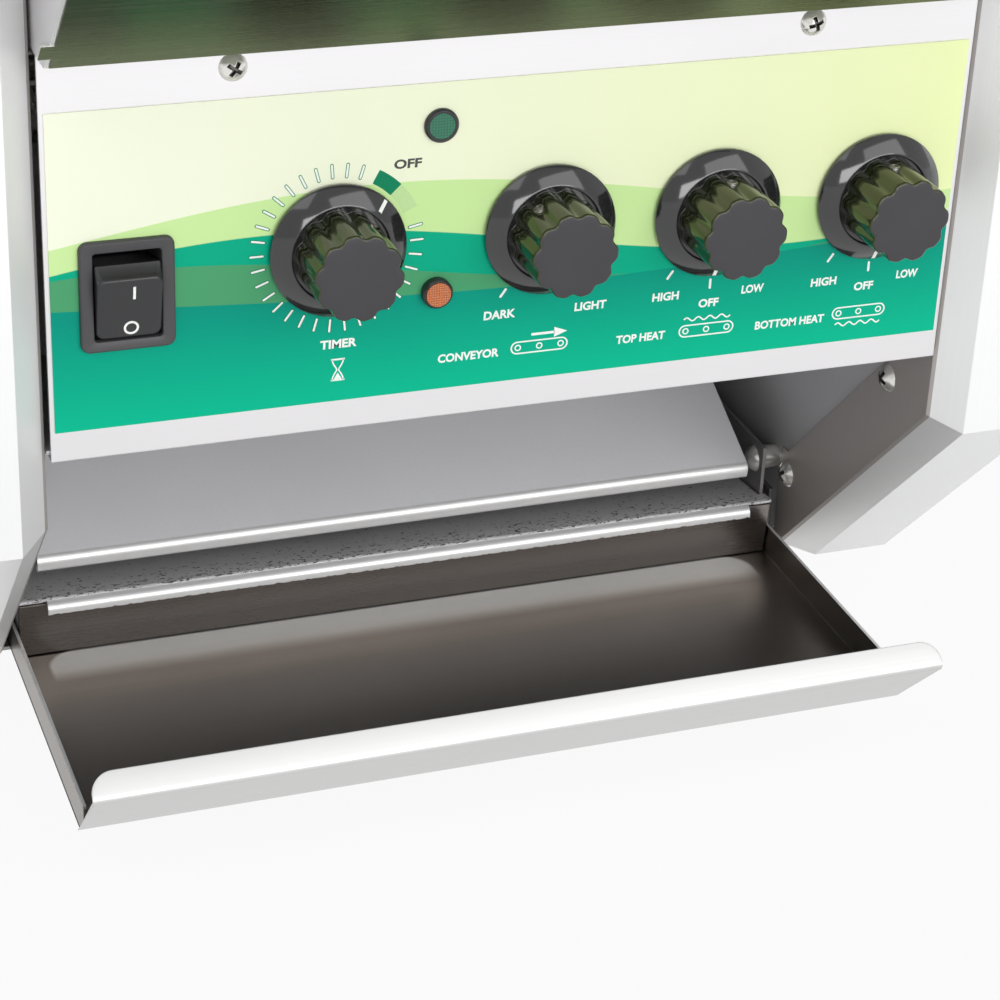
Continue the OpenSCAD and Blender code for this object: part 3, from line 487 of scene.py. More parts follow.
class Palette:
    """Every finish of the machine, built once each."""

    FINISHES = (
        ShadedCoverSheet("brushed_cover", (0.91, 0.91, 0.91), 0.46, Grain.ALONG_Z, 0.05, 0.02, metal=0.5),
        SteelSheet("brushed_top", (0.66, 0.66, 0.655), 0.46, Grain.ALONG_X, 0.05, 0.02, metal=0.8),
        SteelSheet("satin_panel", (0.76, 0.75, 0.76), 0.42, Grain.ALONG_X, 0.03, 0.01),
        ShieldSheet("mirror_shield", (0.70, 0.70, 0.69), 0.27, Grain.ALONG_X, 0.05, 0.04),
        SteelSheet("bright_cheek", (0.80, 0.79, 0.80), 0.42, Grain.EVEN, 0.04, 0.02, metal=0.55),
        SteelSheet("mirror_sheet", (0.72, 0.71, 0.70), 0.16, Grain.ALONG_X, 0.03, 0.02),
        SteelSheet("mill_sheet", (0.66, 0.66, 0.67), 0.46, Grain.EVEN, 0.05, 0.04, metal=0.45),
        SteelSheet("pan_sheet", (0.36, 0.35, 0.35), 0.50, Grain.EVEN, 0.05, 0.05, metal=0.8),
        SteelSheet("chute_sheet", (0.86, 0.86, 0.88), 0.50, Grain.EVEN, 0.07, 0.03, metal=0.08),
        # tray_steel_painted_shade: its dark brown colour is painted shade on the tray floor, walls and lip; tray_front
        # is the lighter front of the same tray
        TraySheet("tray_steel_painted_shade", (0.27, 0.247, 0.228), 0.33, Grain.ALONG_X, 0.04, 0.02),
        SteelSheet("tray_front", (0.68, 0.678, 0.675), 0.45, Grain.ALONG_X, 0.04, 0.02),
        CrumbSheet("crumb_steel", (0.80, 0.79, 0.80), 0.40, Grain.ALONG_X, 0.05, 0.05, metal=0.25),
        # crumb_wall_painted_shade: its dark brown colour is painted shade on the crumb tray's front wall under the lip
        SteelSheet("crumb_wall_painted_shade", (0.24, 0.22, 0.205), 0.28, Grain.ALONG_X, 0.03, 0.03),
        SteelSheet("rolled_edge", (0.86, 0.86, 0.86), 0.42, Grain.ALONG_X, 0.04, 0.02, metal=0.5),
        SteelSheet("zinc_screw", (0.88, 0.86, 0.82), 0.18, Grain.EVEN, 0.04, 0.04, 0.0002, metal=0.7),
        # screw_recess_shade: its dark colour is painted shade in the screws' cross recesses
        SteelSheet("screw_recess_shade", (0.16, 0.15, 0.14), 0.40, Grain.EVEN, 0.04, 0.04, 0.0001),
        SteelSheet("heated_wire", (0.48, 0.46, 0.43), 0.36, Grain.EVEN, 0.05, 0.08, 0.0001),
        SteelSheet("ground_shaft", (0.68, 0.68, 0.68), 0.24, Grain.ALONG_X, 0.04, 0.02),
        SteelSheet("oiled_steel", (0.34, 0.33, 0.31), 0.36, Grain.EVEN, 0.05, 0.08),
        SteelSheet("sintered_bronze", (0.58, 0.42, 0.22), 0.38, Grain.EVEN, 0.05, 0.05),
        SteelSheet("heater_tube", (0.36, 0.34, 0.33), 0.45, Grain.ALONG_X, 0.05, 0.06),
        SteelSheet("heated_sheet", (0.50, 0.45, 0.39), 0.36, Grain.ALONG_X, 0.05, 0.08),
        Moulding("knob_gloss", (0.014, 0.014, 0.016), 0.10, 0.000004, 900.0, 0.75, 0.0004),
        # grip_gloss: its green-tinted black and lime reflection tint are a painted reflection of the lime print
        Moulding("grip_gloss", (0.020, 0.024, 0.010), 0.12, 0.000004, 900.0, 0.45, 0.0004, (0.92, 1.0, 0.42)),
        Moulding("knob_face", (0.030, 0.029, 0.033), 0.38, 0.00001, 2600.0),
        Moulding("rocker_black", (0.020, 0.020, 0.022), 0.36, 0.00001, 2400.0),
        Moulding("rocker_frame_black", (0.048, 0.047, 0.050), 0.45, 0.00001, 2400.0),
        Moulding("fan_black", (0.018, 0.018, 0.019), 0.45),
        Moulding("motor_enamel", (0.06, 0.065, 0.07), 0.35, 0.00001, 700.0, 0.3),
        Moulding("glazed_ceramic", (0.80, 0.78, 0.72), 0.28, 0.00002, 300.0, 0.3),
        Moulding("phenolic_case", (0.55, 0.50, 0.38), 0.42, 0.00002, 600.0),
        Moulding("circuit_board", (0.02, 0.12, 0.05), 0.35, 0.00004, 260.0, 0.4),
        Moulding("foot_rubber", (0.022, 0.022, 0.022), 0.62, 0.00003, 900.0),
        Ink("white_ink", (0.90, 0.92, 0.88)),
        Ink("grey_ink", srgb("4E5350")),
        Ink("green_ink", srgb("08825A")),
        Ink("pale_ink", srgb("BFE0A0")),
        Lens("green_lens", srgb("0C7A58"), 0.0016, 0.00003),
        Lens("amber_lens", srgb("E0762A"), 0.0014, 0.00016),
        Overlay(
            "printed_overlay",
            -0.131,
            0.1449,
            0.262,
            0.0895,
            (
                Wave(srgb("C8E8A0"), 0.60, 0.10, 0.80, -0.02),
                Wave(srgb("00A884"), 0.47, 0.10, 0.85, 0.06),
                Wave(srgb("4C9C6C"), 0.41, 0.09, 0.85, 0.18),
                Wave(srgb("00907C"), 0.37, 0.05, 0.62, 0.42),
            ),
        ),
    )

    def __init__(self) -> None:
        """Build every finish."""
        self.made = {finish.name: finish.build() for finish in self.FINISHES}

    def __getitem__(self, name: str) -> bpy.types.Material:
        """Material of a finish."""
        return self.made[name]


# --- mesh helpers --------------------------------------------------------------------


def piece_from(name: str, mesh: bpy.types.Mesh, finishes: Sequence[bpy.types.Material]) -> bpy.types.Object:
    """Link a mesh as an object at the origin and give it its materials."""
    piece = bpy.data.objects.new(name, mesh)
    bpy.context.scene.collection.objects.link(piece)
    for finish in finishes:
        piece.data.materials.append(finish)
    return piece


def mesh_of(name: str, points: Sequence[Vector], faces: Sequence[Sequence[int]]) -> bpy.types.Mesh:
    """Make a mesh from points and faces, with its faces pointing outwards."""
    mesh = bpy.data.meshes.new(name)
    mesh.from_pydata([tuple(p) for p in points], [], [tuple(f) for f in faces])
    build = bmesh.new()
    build.from_mesh(mesh)
    bmesh.ops.remove_doubles(build, verts=build.verts, dist=1e-7)
    bmesh.ops.recalc_face_normals(build, faces=build.faces)
    build.to_mesh(mesh)
    build.free()
    return mesh


def shade_smooth(piece: bpy.types.Object, angle: float = 35.0) -> None:
    """Smooth a piece and keep edges sharper than an angle in degrees."""
    mesh = piece.data
    mesh.polygons.foreach_set("use_smooth", [True] * len(mesh.polygons))
    build = bmesh.new()
    build.from_mesh(mesh)
    limit = math.radians(angle)
    for edge in build.edges:
        edge.smooth = edge.is_manifold and edge.calc_face_angle(0.0) < limit
    build.to_mesh(mesh)
    build.free()


def joined(name: str, pieces: Sequence[bpy.types.Object]) -> bpy.types.Object:
    """Join pieces into the first one and rename it."""
    bpy.ops.object.select_all(action="DESELECT")
    for piece in pieces:
        piece.select_set(True)
    bpy.context.view_layer.objects.active = pieces[0]
    if len(pieces) > 1:
        bpy.ops.object.join()
    pieces[0].name = name
    pieces[0].data.name = name
    return pieces[0]


def slab(outline: Sequence[tuple[float, float]], y: float, thickness: float) -> tuple[list[Vector], list[list[int]]]:
    """Flat plate on the panel, from an outline in x and z.

    Args:
        outline: Corners in millimetres, in order.
        y: Where the back of the plate lies, in millimetres.
        thickness: Its thickness towards the viewer, in millimetres.

    Returns:
        Points in metres and faces.
    """
    count = len(outline)
    points = [Panel.at(x, y, z) for x, z in outline]
    points += [Panel.at(x, y - thickness, z) for x, z in outline]
    faces = [list(range(count)), list(range(2 * count - 1, count - 1, -1))]
    faces += [[i, (i + 1) % count, count + (i + 1) % count, count + i] for i in range(count)]
    return points, faces


class Stack:
    """Collects points and faces of many small solids into one mesh."""

    def __init__(self) -> None:
        """Start empty."""
        self.points: list[Vector] = []
        self.faces: list[list[int]] = []

    def add(self, part: tuple[Sequence[Vector], Sequence[Sequence[int]]]) -> None:
        """Append one solid."""
        start = len(self.points)
        self.points += list(part[0])
        self.faces += [[i + start for i in face] for face in part[1]]

    def mesh(self, name: str) -> bpy.types.Mesh:
        """All solids as one mesh."""
        return mesh_of(name, self.points, self.faces)


def ribbon(points: Sequence[tuple[float, float]], width: float, y: float, thickness: float, closed: bool = False) -> list[tuple[list[Vector], list[list[int]]]]:
    """Flat printed line along points in x and z, all in millimetres."""
    count = len(points)
    left, right = [], []
    for i in range(count):
        a = Vector(points[i - 1] if closed or i else points[0])
        b = Vector(points[(i + 1) % count] if closed or i < count - 1 else points[-1])
        along = (b - a).normalized()
        side = Vector((-along.y, along.x)) * width / 2
        here = Vector(points[i])
        left.append(here + side)
        right.append(here - side)
    parts = []
    last = count if closed else count - 1
    for i in range(last):
        j = (i + 1) % count
        corners = [tuple(left[i]), tuple(left[j]), tuple(right[j]), tuple(right[i])]
        parts.append(slab(corners, y, thickness))
    return parts


def spun(profile: Sequence[tuple[float, float]], steps: int, shape: Callable[[float, int], float] = None) -> tuple[list[Vector], list[list[int]]]:
    """Turn a profile of radius and height about +Z, in millimetres.

    Args:
        profile: Radius and height of each ring, from the axis back to the axis.
        steps: Number of points round each ring.
        shape: Optional factor on the radius, by angle and by ring.

    Returns:
        Points in millimetres and faces.
    """
    points: list[Vector] = []
    rings: list[list[int]] = []
    for k, (radius, height) in enumerate(profile):
        if radius < 1e-6:
            rings.append([len(points)] * steps)
            points.append(Vector((0, 0, height)))
            continue
        rings.append(list(range(len(points), len(points) + steps)))
        for i in range(steps):
            a = math.tau * i / steps
            r = radius * (shape(a, k) if shape else 1.0)
            points.append(Vector((r * math.cos(a), r * math.sin(a), height)))
    faces = []
    for low, high in zip(rings, rings[1:]):
        for i in range(steps):
            j = (i + 1) % steps
            face = [low[i], low[j], high[j], high[i]]
            face = [v for n, v in enumerate(face) if v not in face[:n]]
            if len(face) > 2:
                faces.append(face)
    return points, faces


def rounded_box(width: float, height: float, radius: float, steps: int = 6) -> list[tuple[float, float]]:
    """Rounded rectangle about the middle, anticlockwise."""
    points = []
    for sx, sz, start in ((1, 1, 0), (-1, 1, 90), (-1, -1, 180), (1, -1, 270)):
        for k in range(steps + 1):
            a = math.radians(start + 90 * k / steps)
            points.append((sx * (width / 2 - radius) + radius * math.cos(a), sz * (height / 2 - radius) + radius * math.sin(a)))
    return points


def loft(rings: Sequence[Sequence[Vector]], ends: bool = True, round_again: bool = False) -> tuple[list[Vector], list[list[int]]]:
    """Skin over rings that have as many points each.

    Args:
        rings: The rings, in order.
        ends: Whether the first and the last ring are closed by a face.
        round_again: Whether the last ring is joined to the first.

    Returns:
        Points and faces.
    """
    size = len(rings[0])
    points = [p for ring in rings for p in ring]
    faces = []
    pairs = list(zip(range(len(rings) - 1), range(1, len(rings))))
    if round_again:
        pairs.append((len(rings) - 1, 0))
    for a, b in pairs:
        for k in range(size):
            m = (k + 1) % size
            faces.append([a * size + k, a * size + m, b * size + m, b * size + k])
    if ends and not round_again:
        faces.append(list(range(size)))
        faces.append([(len(rings) - 1) * size + k for k in range(size)])
    return points, faces


def out_of_panel(x: float, z: float, turn: float = 0.0) -> Matrix:
    """Matrix that stands a shape made in millimetres along +Z out of the panel.

    Args:
        x: Where its axis is.
        z: Height of its axis.
        turn: Degrees clockwise, seen from the front, from straight up.

    Returns:
        The matrix, which also turns millimetres into metres. Local +Y points up.
    """
    stand = Matrix.Rotation(math.radians(90), 4, "X")
    spin = Matrix.Rotation(-math.radians(turn), 4, "Z")
    return Matrix.Translation(Panel.at(x, 0, z)) @ stand @ spin @ Matrix.Scale(0.001, 4)


# --- controls ------------------------------------------------------------------------


@dataclass
class Knob:
    """A fluted knob with a skirt and a pointer line."""

    node: str
    body: str
    x: float
    pointer: float
    z: float = 189.9
    gap: float = 1.2
    skirt: float = 19.0
    collar: float = 14.0
    grip: float = 12.6
    reach: float = 21.4
    flutes: int = 10
    steps: int = 240

    def flute(self, angle: float) -> float:
        """Radius factor of the grip at an angle."""
        dip = (0.5 + 0.5 * math.cos(self.flutes * angle + math.pi)) ** 2.0
        return 1.0 - 0.095 * dip

    def build(self, palette: Palette) -> None:
        """Make the knob and hang it on its body."""
        place = out_of_panel(self.x, self.z, self.pointer)
        base, rim = self.gap, self.gap + 4.0
        skirt = [
            (3.1, base), (self.skirt - 0.3, base), (self.skirt, base + 0.25), (self.skirt, base + 0.8),
            (self.skirt - 0.25, base + 1.05), (self.collar + 0.35, rim - 0.08), (self.collar, rim),
            (self.collar - 0.35, rim - 0.12), (self.collar - 0.6, rim - 1.2), (self.grip - 1.6, rim - 1.35),
            (0.0, rim - 1.35),
        ]
        points, faces = spun([(0.0, base)] + skirt, 96)
        parts = [piece_from("skirt", mesh_of("skirt", [place @ p for p in points], faces), [palette["knob_gloss"]])]
        top = self.reach
        grip = [(0.0, rim - 2.0), (self.grip, rim - 2.0), (self.grip * 0.985, top - 0.9)]
        for k in range(1, 5):
            a = math.radians(90 * k / 4)
            grip.append((self.grip * 0.985 - 0.75 * (1 - math.cos(a)), top - 0.9 + 0.75 * math.sin(a)))
        flat = len(grip)
        grip += [(self.grip - 2.6, top - 0.12), (self.grip - 5.0, top), (0.0, top)]

        def shape(angle: float, ring: int) -> float:
            """Fade the flutes out towards the middle of the end face."""
            depth = 1.0 if ring < flat else 0.0
            return 1.0 + (self.flute(angle) - 1.0) * depth

        points, faces = spun(grip, self.steps, shape)
        body = piece_from("grip", mesh_of("grip", [place @ p for p in points], faces), [palette["grip_gloss"], palette["knob_face"]])
        for face in body.data.polygons:
            if face.normal.y < -0.9:
                face.material_index = 1
        parts.append(body)
        for part in parts:
            shade_smooth(part, 40)
        mark = Stack()
        slope = 3.0 / (self.skirt - self.collar)
        inner, outer, half = self.collar + 0.3, self.skirt - 0.4, 0.55
        corners = []
        for lift in (0.0, 0.12):
            for r, s in ((inner, -1), (inner, 1), (outer, 1), (outer, -1)):
                height = rim - (r - self.collar) * slope * 0.98 - 0.06 + lift
                corners.append(Vector((s * half, r, height)))
        sides = [[0, 1, 2, 3], [4, 5, 6, 7], [0, 1, 5, 4], [1, 2, 6, 5], [2, 3, 7, 6], [3, 0, 4, 7]]
        mark.add(([place @ c for c in corners], sides))
        parts.append(piece_from("pointer", mark.mesh("pointer"), [palette["white_ink"]]))
        parts += self.set_screw(place, palette)
        piece = joined("dressed_" + self.node, parts)
        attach(piece, self.body)
        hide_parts(self.node)
        LOG.info("%s built with its pointer at %.0f degrees", self.node, self.pointer)

    def set_screw(self, place: Matrix, palette: Palette) -> list[bpy.types.Object]:
        """Grub screw in the side of the grip, opposite the pointer."""
        r = self.grip * 0.93
        side = Matrix.Translation((0, -r, 9.0)) @ Matrix.Rotation(math.radians(90), 4, "X")
        profile = [(0.0, -0.6), (1.5, -0.6), (1.5, 0.35), (1.3, 0.5), (1.1, 0.5), (1.1, -0.1), (0.0, -0.1)]
        points, faces = spun(profile, 32)
        piece = piece_from("grub", mesh_of("grub", [place @ side @ p for p in points], faces), [palette["oiled_steel"]])
        shade_smooth(piece, 40)
        return [piece]


@dataclass
class Rocker:
    """Rocker switch with its frame, and the marks on its face."""

    x: float = -110.8
    z: float = 183.3
    pivot: float = 11.0
    tilt: float = 11.0
    width: float = 17.5
    face: float = 15.0
    half: float = 8.8
    corner: float = 2.2
    frame: tuple[float, float] = (25.5, 31.3)
    hole: tuple[float, float] = (18.2, 24.9)

    def ring(self, width: float, height: float, radius: float, y: float) -> list[Vector]:
        """Rounded ring about the switch at a depth, in metres."""
        return [Panel.at(self.x + a, y, self.z + b) for a, b in rounded_box(width, height, radius)]

    def leaning(self, width: float, height: float, radius: float, y: float) -> list[Vector]:
        """Rounded ring that leans with the rocker about its pin, in metres."""
        turn = math.radians(self.tilt)
        points = []
        for a, b in rounded_box(width, height, radius):
            points.append(Panel.at(self.x + a, self.pivot + y * math.cos(turn) - b * math.sin(turn), self.z + y * math.sin(turn) + b * math.cos(turn)))
        return points

    def build(self, palette: Palette) -> None:
        """Make the frame, the rocker and its marks."""
        wide, high = self.frame
        hole_w, hole_h = self.hole
        rings = [
            self.ring(wide, high, 2.5, -0.4), self.ring(wide, high, 2.5, -1.2), self.ring(wide - 0.3, high - 0.3, 2.4, -1.7),
            self.ring(wide - 1.1, high - 1.1, 2.0, -2.0), self.ring(hole_w + 1.0, hole_h + 1.0, 1.3, -2.0),
            self.ring(hole_w + 0.3, hole_h + 0.3, 1.0, -1.8), self.ring(hole_w, hole_h, 0.8, -1.3),
            self.ring(hole_w, hole_h, 0.8, 0.1), self.ring(hole_w, 28.0, 0.5, 0.12), self.ring(hole_w, 28.0, 0.5, 17.4),
            self.ring(21.4, 29.0, 0.9, 17.4), self.ring(21.4, 29.0, 0.9, -0.4),
        ]
        parts = [piece_from("bezel", mesh_of("bezel", *loft(rings, round_again=True)), [palette["rocker_frame_black"]])]
        back = [self.ring(21.4, 29.0, 0.9, 17.2), self.ring(21.4, 29.0, 0.9, 19.6), self.ring(20.6, 28.2, 0.6, 20.0)]
        parts.append(piece_from("back", mesh_of("back", *loft(back)), [palette["rocker_frame_black"]]))
        for part in parts:
            shade_smooth(part, 30)
        frame = joined("dressed_rocker_frame", parts)
        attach(frame, "casing")
        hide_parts("rocker_frame")
        face, half, w = -self.face, self.half, self.width
        rings = [
            self.leaning(w - 2.0, 10.0, 0.4, 3.0), self.leaning(w, 10.0, 0.4, 2.0), self.leaning(w, 2 * 11.6, 0.6, -11.2),
            self.leaning(w, 2 * 9.75, 1.2, -12.9), self.leaning(w, 2 * half + 1.2, self.corner, face + 0.9),
            self.leaning(w - 0.2, 2 * half + 0.8, self.corner, face + 0.35), self.leaning(w - 0.7, 2 * half + 0.2, self.corner, face + 0.08),
            self.leaning(w - 1.5, 2 * half - 0.6, self.corner - 0.3, face), self.leaning(w - 5.0, 2 * half - 4.0, 1.0, face + 0.12),
        ]
        rocker = piece_from("paddle", mesh_of("paddle", *loft(rings)), [palette["rocker_black"]])
        shade_smooth(rocker, 35)
        pin = [[self.pin_point(side, a) for a in range(0, 360, 30)] for side in (-10.1, 10.1)]
        axle = piece_from("pin", mesh_of("pin", *loft(pin)), [palette["rocker_black"]])
        rocker = joined("dressed_rocker", [rocker, axle])
        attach(rocker, "power_rocker")
        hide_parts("rocker")
        marks = piece_from("rocker_marks", self.marks().mesh("rocker_marks"), [palette["white_ink"]])
        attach(marks, "power_rocker")
        LOG.info("rocker switch built at a lean of %.0f degrees", self.tilt)

    def pin_point(self, side: float, angle: float) -> Vector:
        """Point on the pin of the rocker."""
        a = math.radians(angle)
        return Panel.at(self.x + side, self.pivot + 1.15 * math.cos(a), self.z + 1.15 * math.sin(a))

    def on_face(self, a: float, b: float, lift: float) -> Vector:
        """Point on the face of the rocker, in metres."""
        turn = math.radians(self.tilt)
        y = -self.face - lift
        return Panel.at(self.x + a, self.pivot + y * math.cos(turn) - b * math.sin(turn), self.z + y * math.sin(turn) + b * math.cos(turn))

    def marks(self) -> Stack:
        """The stroke and the ring that mark on and off."""
        lines = Stack()
        stroke = [(0.75, 2.9), (1.45, 2.9), (1.45, 6.7), (0.75, 6.7)]
        solid = [[self.on_face(a, b, lift) for a, b in stroke] for lift in (-0.12, 0.06)]
        lines.add(loft(solid))
        steps = 28
        rims = []
        for radius, lift in ((1.45, -0.12), (1.45, 0.06), (2.05, 0.06), (2.05, -0.12)):
            rims.append([self.on_face(0.5 + radius * math.cos(math.tau * k / steps), -6.1 + radius * math.sin(math.tau * k / steps), lift) for k in range(steps)])
        lines.add(loft(rims, round_again=True))
        return lines


# --- bent sheet ----------------------------------------------------------------------


def rounded_path(corners: Sequence[tuple[float, float, float]], thickness: float, steps: int = 6) -> tuple[list[Vector], list[Vector]]:
    """Both faces of a bent sheet, as two lines with as many points each.

    Args:
        corners: y, z and inner bend radius of each corner, in millimetres.
        thickness: Sheet thickness, to the left of the path.
        steps: Points in a bend.

    Returns:
        The right and the left face.
    """
    right: list[Vector] = []
    left: list[Vector] = []
    last = len(corners) - 1
    for i, (y, z, radius) in enumerate(corners):
        here = Vector((y, z))
        back = (here - Vector(corners[i - 1][:2])).normalized() if i else None
        on = (Vector(corners[i + 1][:2]) - here).normalized() if i < last else None
        if back is None or on is None:
            along = on or back
            side = Vector((-along.y, along.x))
            right.append(here)
            left.append(here + side * thickness)
            continue
        turn = math.atan2(back.x * on.y - back.y * on.x, back.dot(on))
        centre_side = 1.0 if turn > 0 else -1.0
        inside = (thickness > 0) == (turn > 0)
        near = radius + abs(thickness) if inside else radius
        far = radius if inside else radius + abs(thickness)
        reach = near * math.tan(abs(turn) / 2)
        n0 = Vector((-back.y, back.x)) * centre_side
        start = here - back * reach
        centre = start + n0 * near
        for k in range(steps + 1):
            a = turn * k / steps
            spoke = Matrix.Rotation(a, 2) @ (-n0)
            right.append(centre + spoke * near)
            left.append(centre + spoke * far)
    return right, left


def sheet_solid(
    corners: Sequence[tuple[float, float, float]],
    thickness: float,
    columns: Sequence[float],
    trim: Callable[[float, tuple[float, float], int], Point] = None,
    steps: int = 6,
) -> tuple[list[Vector], list[list[int]]]:
    """Bent sheet drawn out along x.

    Args:
        corners: y, z and bend radius of each corner.
        thickness: Sheet thickness, to the left of the path.
        columns: x of every column, in order.
        trim: Optional change of x, y and z, by x and by row.
        steps: Points in a bend.

    Returns:
        Points in metres and faces.
    """
    right, left = rounded_path(corners, thickness, steps)
    rows = len(right)
    loop = right + left[::-1]
    points: list[Vector] = []
    for x in columns:
        for k, p in enumerate(loop):
            row = k if k < rows else 2 * rows - 1 - k
            points.append(Panel.at(*((x, p.x, p.y) if trim is None else trim(x, (p.x, p.y), row))))
    size = len(loop)
    faces = []
    for c in range(len(columns) - 1):
        for k in range(size):
            m = (k + 1) % size
            faces.append([c * size + k, c * size + m, (c + 1) * size + m, (c + 1) * size + k])
    for c in (0, len(columns) - 1):
        for k in range(rows - 1):
            faces.append([c * size + k, c * size + k + 1, c * size + size - 2 - k, c * size + size - 1 - k])
    return points, faces


@dataclass
class LandingTray:
    """The tray that the toast slides onto, with its folded front."""

    half: float = 129.5
    floor: float = 21.2
    wall: float = 11.3
    front: float = -6.7
    rear: float = 236.0
    run: float = 25.6
    flange: float = 8.9
    sheet: float = 1.0
    corner: float = 6.5

    def build(self, palette: Palette) -> None:
        """Make the tray and hang it on its body."""
        bend = Vector((self.front - self.run, self.floor + self.run))
        lean = Vector((0.68, 0.73)).normalized()
        edge = bend + lean * self.flange
        wide = self.half + 0.95
        near = [wide - self.corner * (1 - math.cos(math.radians(a))) for a in range(90, -1, -10)]
        columns = sorted({-x for x in near} | set(near) | {0.0})
        corners = [(edge.x, edge.y, 0.0), (bend.x, bend.y, 1.2), (self.front, self.floor, 1.0), (self.rear, self.floor, 0.0)]

        def trim(x: float, p: tuple[float, float], row: int) -> Point:
            """Round the upper corners of the flange and draw the floor in."""
            over = max(0.0, abs(x) - (wide - self.corner))
            here = Vector(p)
            along = (here - bend).dot(lean)
            if row == 0 and over > 0:
                cut = self.corner - math.sqrt(max(0.0, self.corner**2 - over**2))
                here = here - lean * min(cut, along - 1.5)
            if here.x > self.front - 0.5:
                x = max(-self.half, min(self.half, x))
            return x, here.x, here.y

        points, faces = sheet_solid(corners, self.sheet, columns, trim)
        body = piece_from("sheet", mesh_of("sheet", points, faces), [palette["tray_steel_painted_shade"], palette["tray_front"]])
        # floor faces keep the dark painted-shade steel; the front faces get the lighter tray_front
        for face in body.data.polygons:
            if face.center.y < Panel.at(0, self.front, 0).y:
                face.material_index = 1
        parts = [body]
        lip = [(self.rear - self.sheet, self.floor + 0.4, 0.0), (self.rear - self.sheet, self.floor - 5, 0.0)]
        parts.append(piece_from("lip", mesh_of("lip", *sheet_solid(lip, self.sheet, [16 - self.half, 0.0, self.half - 16])), [palette["tray_steel_painted_shade"]]))
        top = self.floor + self.wall
        for s in (-1, 1):
            outline = [
                (self.front - 0.2, self.floor + 0.5), (self.front + 3, self.floor + 0.05), (self.rear, self.floor + 0.05),
                (self.rear, top), (self.front - 4.9, top), (self.front - 5.4, top - 0.5), (self.front - 5.4, self.floor + 5.8),
            ]
            outer, inner = s * self.half, s * (self.half - self.sheet)
            count = len(outline)
            corners3 = [Panel.at(x, y, z) for x in (outer, inner) for y, z in outline]
            wall = [list(range(count)), list(range(2 * count - 1, count - 1, -1))]
            wall += [[i, (i + 1) % count, count + (i + 1) % count, count + i] for i in range(count)]
            side = piece_from("wall", mesh_of("wall", corners3, wall), [palette["tray_steel_painted_shade"], palette["rolled_edge"]])
            # the walls get the dark painted-shade steel; their top faces get the bright rolled_edge steel as a painted
            # highlight
            for face in side.data.polygons:
                if face.normal.z > 0.9:
                    face.material_index = 1
            parts.append(side)
        for part in parts:
            shade_smooth(part, 30)
        piece = joined("dressed_landing_tray", parts)
        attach(piece, "toast_tray")
        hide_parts("landing_tray")
        LOG.info("landing tray folded")


@dataclass
class CrumbTray:
    """Crumb tray with a rolled crest, a front wall and a worn lip."""

    crest: tuple[float, float] = (86.4, 43.5)
    half: float = 128.3
    lip_half: float = 119.4
    apron_half: float = 127.9
    inner: float = 126.0
    pan: float = 92.7
    bottom: float = 25.2
    rear: float = 290.0
    sheet: float = 1.0

    def worn(self, x: float) -> float:
        """How much is missing from the edge of the lip at a place."""
        ripple = math.sin(x * 1.9) * math.sin(x * 0.83 + 1.1) + 0.6 * math.sin(x * 4.7 + 0.4) * math.sin(x * 0.31)
        return 0.16 * max(0.0, ripple)

    def build(self, palette: Palette) -> None:
        """Make the tray and hang it on its body."""
        y, z = self.crest
        foot = self.bottom + self.sheet
        plate = [(y + 0.2, z - 0.2, 0.0), (y + 1.0, z, 0.8), (y + 31, z - 3.4, 6.0), (y + 46, foot, 4.0), (self.rear, foot, 0.0)]

        def narrow(x: float, p: tuple[float, float], row: int) -> Point:
            """Keep inside the pan behind the front edge."""
            limit = self.half if p[0] < self.pan else self.inner
            return max(-limit, min(limit, x)), p[0], p[1]

        top = [(self.half - 0.01) * s for s in (-1, 1)]
        front = [(y + 0.2, z - 0.2, 0.0), (y + 1.0, z, 0.8), (self.pan - 0.1, z - 0.62, 0.0)]
        parts = [piece_from("shelf", mesh_of("shelf", *sheet_solid(front, -self.sheet, top)), [palette["crumb_steel"]])]
        plate[0] = (self.pan - 0.4, z - 0.59, 0.0)
        del plate[1]
        parts.append(piece_from("plate", mesh_of("plate", *sheet_solid(plate, -self.sheet, [-self.inner, 0.0, self.inner], steps=8)), [palette["crumb_steel"]]))
        count = 240
        columns = [-self.lip_half + 2 * self.lip_half * k / count for k in range(count + 1)]
        roll = [(y - 2.45, z - 4.3, 0.0), (y - 2.3, z - 1.1, 1.6), (y + 1.2, z - 0.02, 0.0)]

        def ragged(x: float, p: tuple[float, float], row: int) -> Point:
            """Wear the lower edge."""
            lift = self.worn(x) * max(0.0, min(1.0, (z - 2.9 - p[1]) / 1.2))
            return x, p[0], p[1] + lift * 2

        parts.append(piece_from("lip", mesh_of("lip", *sheet_solid(roll, -0.95, columns, ragged, 8)), [palette["rolled_edge"]]))
        # the front wall gets the dark brown painted shade
        wall = [(y + 2.8, 22.6, 0.0), (y + 0.3, z - 1.7, 0.0)]
        parts.append(piece_from("wall", mesh_of("wall", *sheet_solid(wall, -self.sheet, [-self.apron_half, 0.0, self.apron_half])), [palette["crumb_wall_painted_shade"]]))
        rear = [(self.rear - 1, self.bottom, 0.0), (self.rear - 1, self.bottom + 12, 0.0)]
        parts.append(piece_from("rear", mesh_of("rear", *sheet_solid(rear, -self.sheet, [-self.inner, 0.0, self.inner])), [palette["crumb_steel"]]))
        for s in (-1, 1):
            side = [(y + 38, 0.0), (self.rear, 0.0)]
            rings = [[Panel.at(s * x, a, h) for a, _ in side for h in ((self.bottom + 0.2, self.bottom + 12) if a == side[0][0] else (self.bottom + 12, self.bottom + 0.2))]
                     for x in (self.inner - self.sheet, self.inner)]
            parts.append(piece_from("side", mesh_of("side", *loft(rings)), [palette["crumb_steel"]]))
        for part in parts:
            shade_smooth(part, 40)
        piece = joined("dressed_crumb_tray", parts)
        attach(piece, "crumbs")
        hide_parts("crumb_tray")
        LOG.info("crumb tray folded")


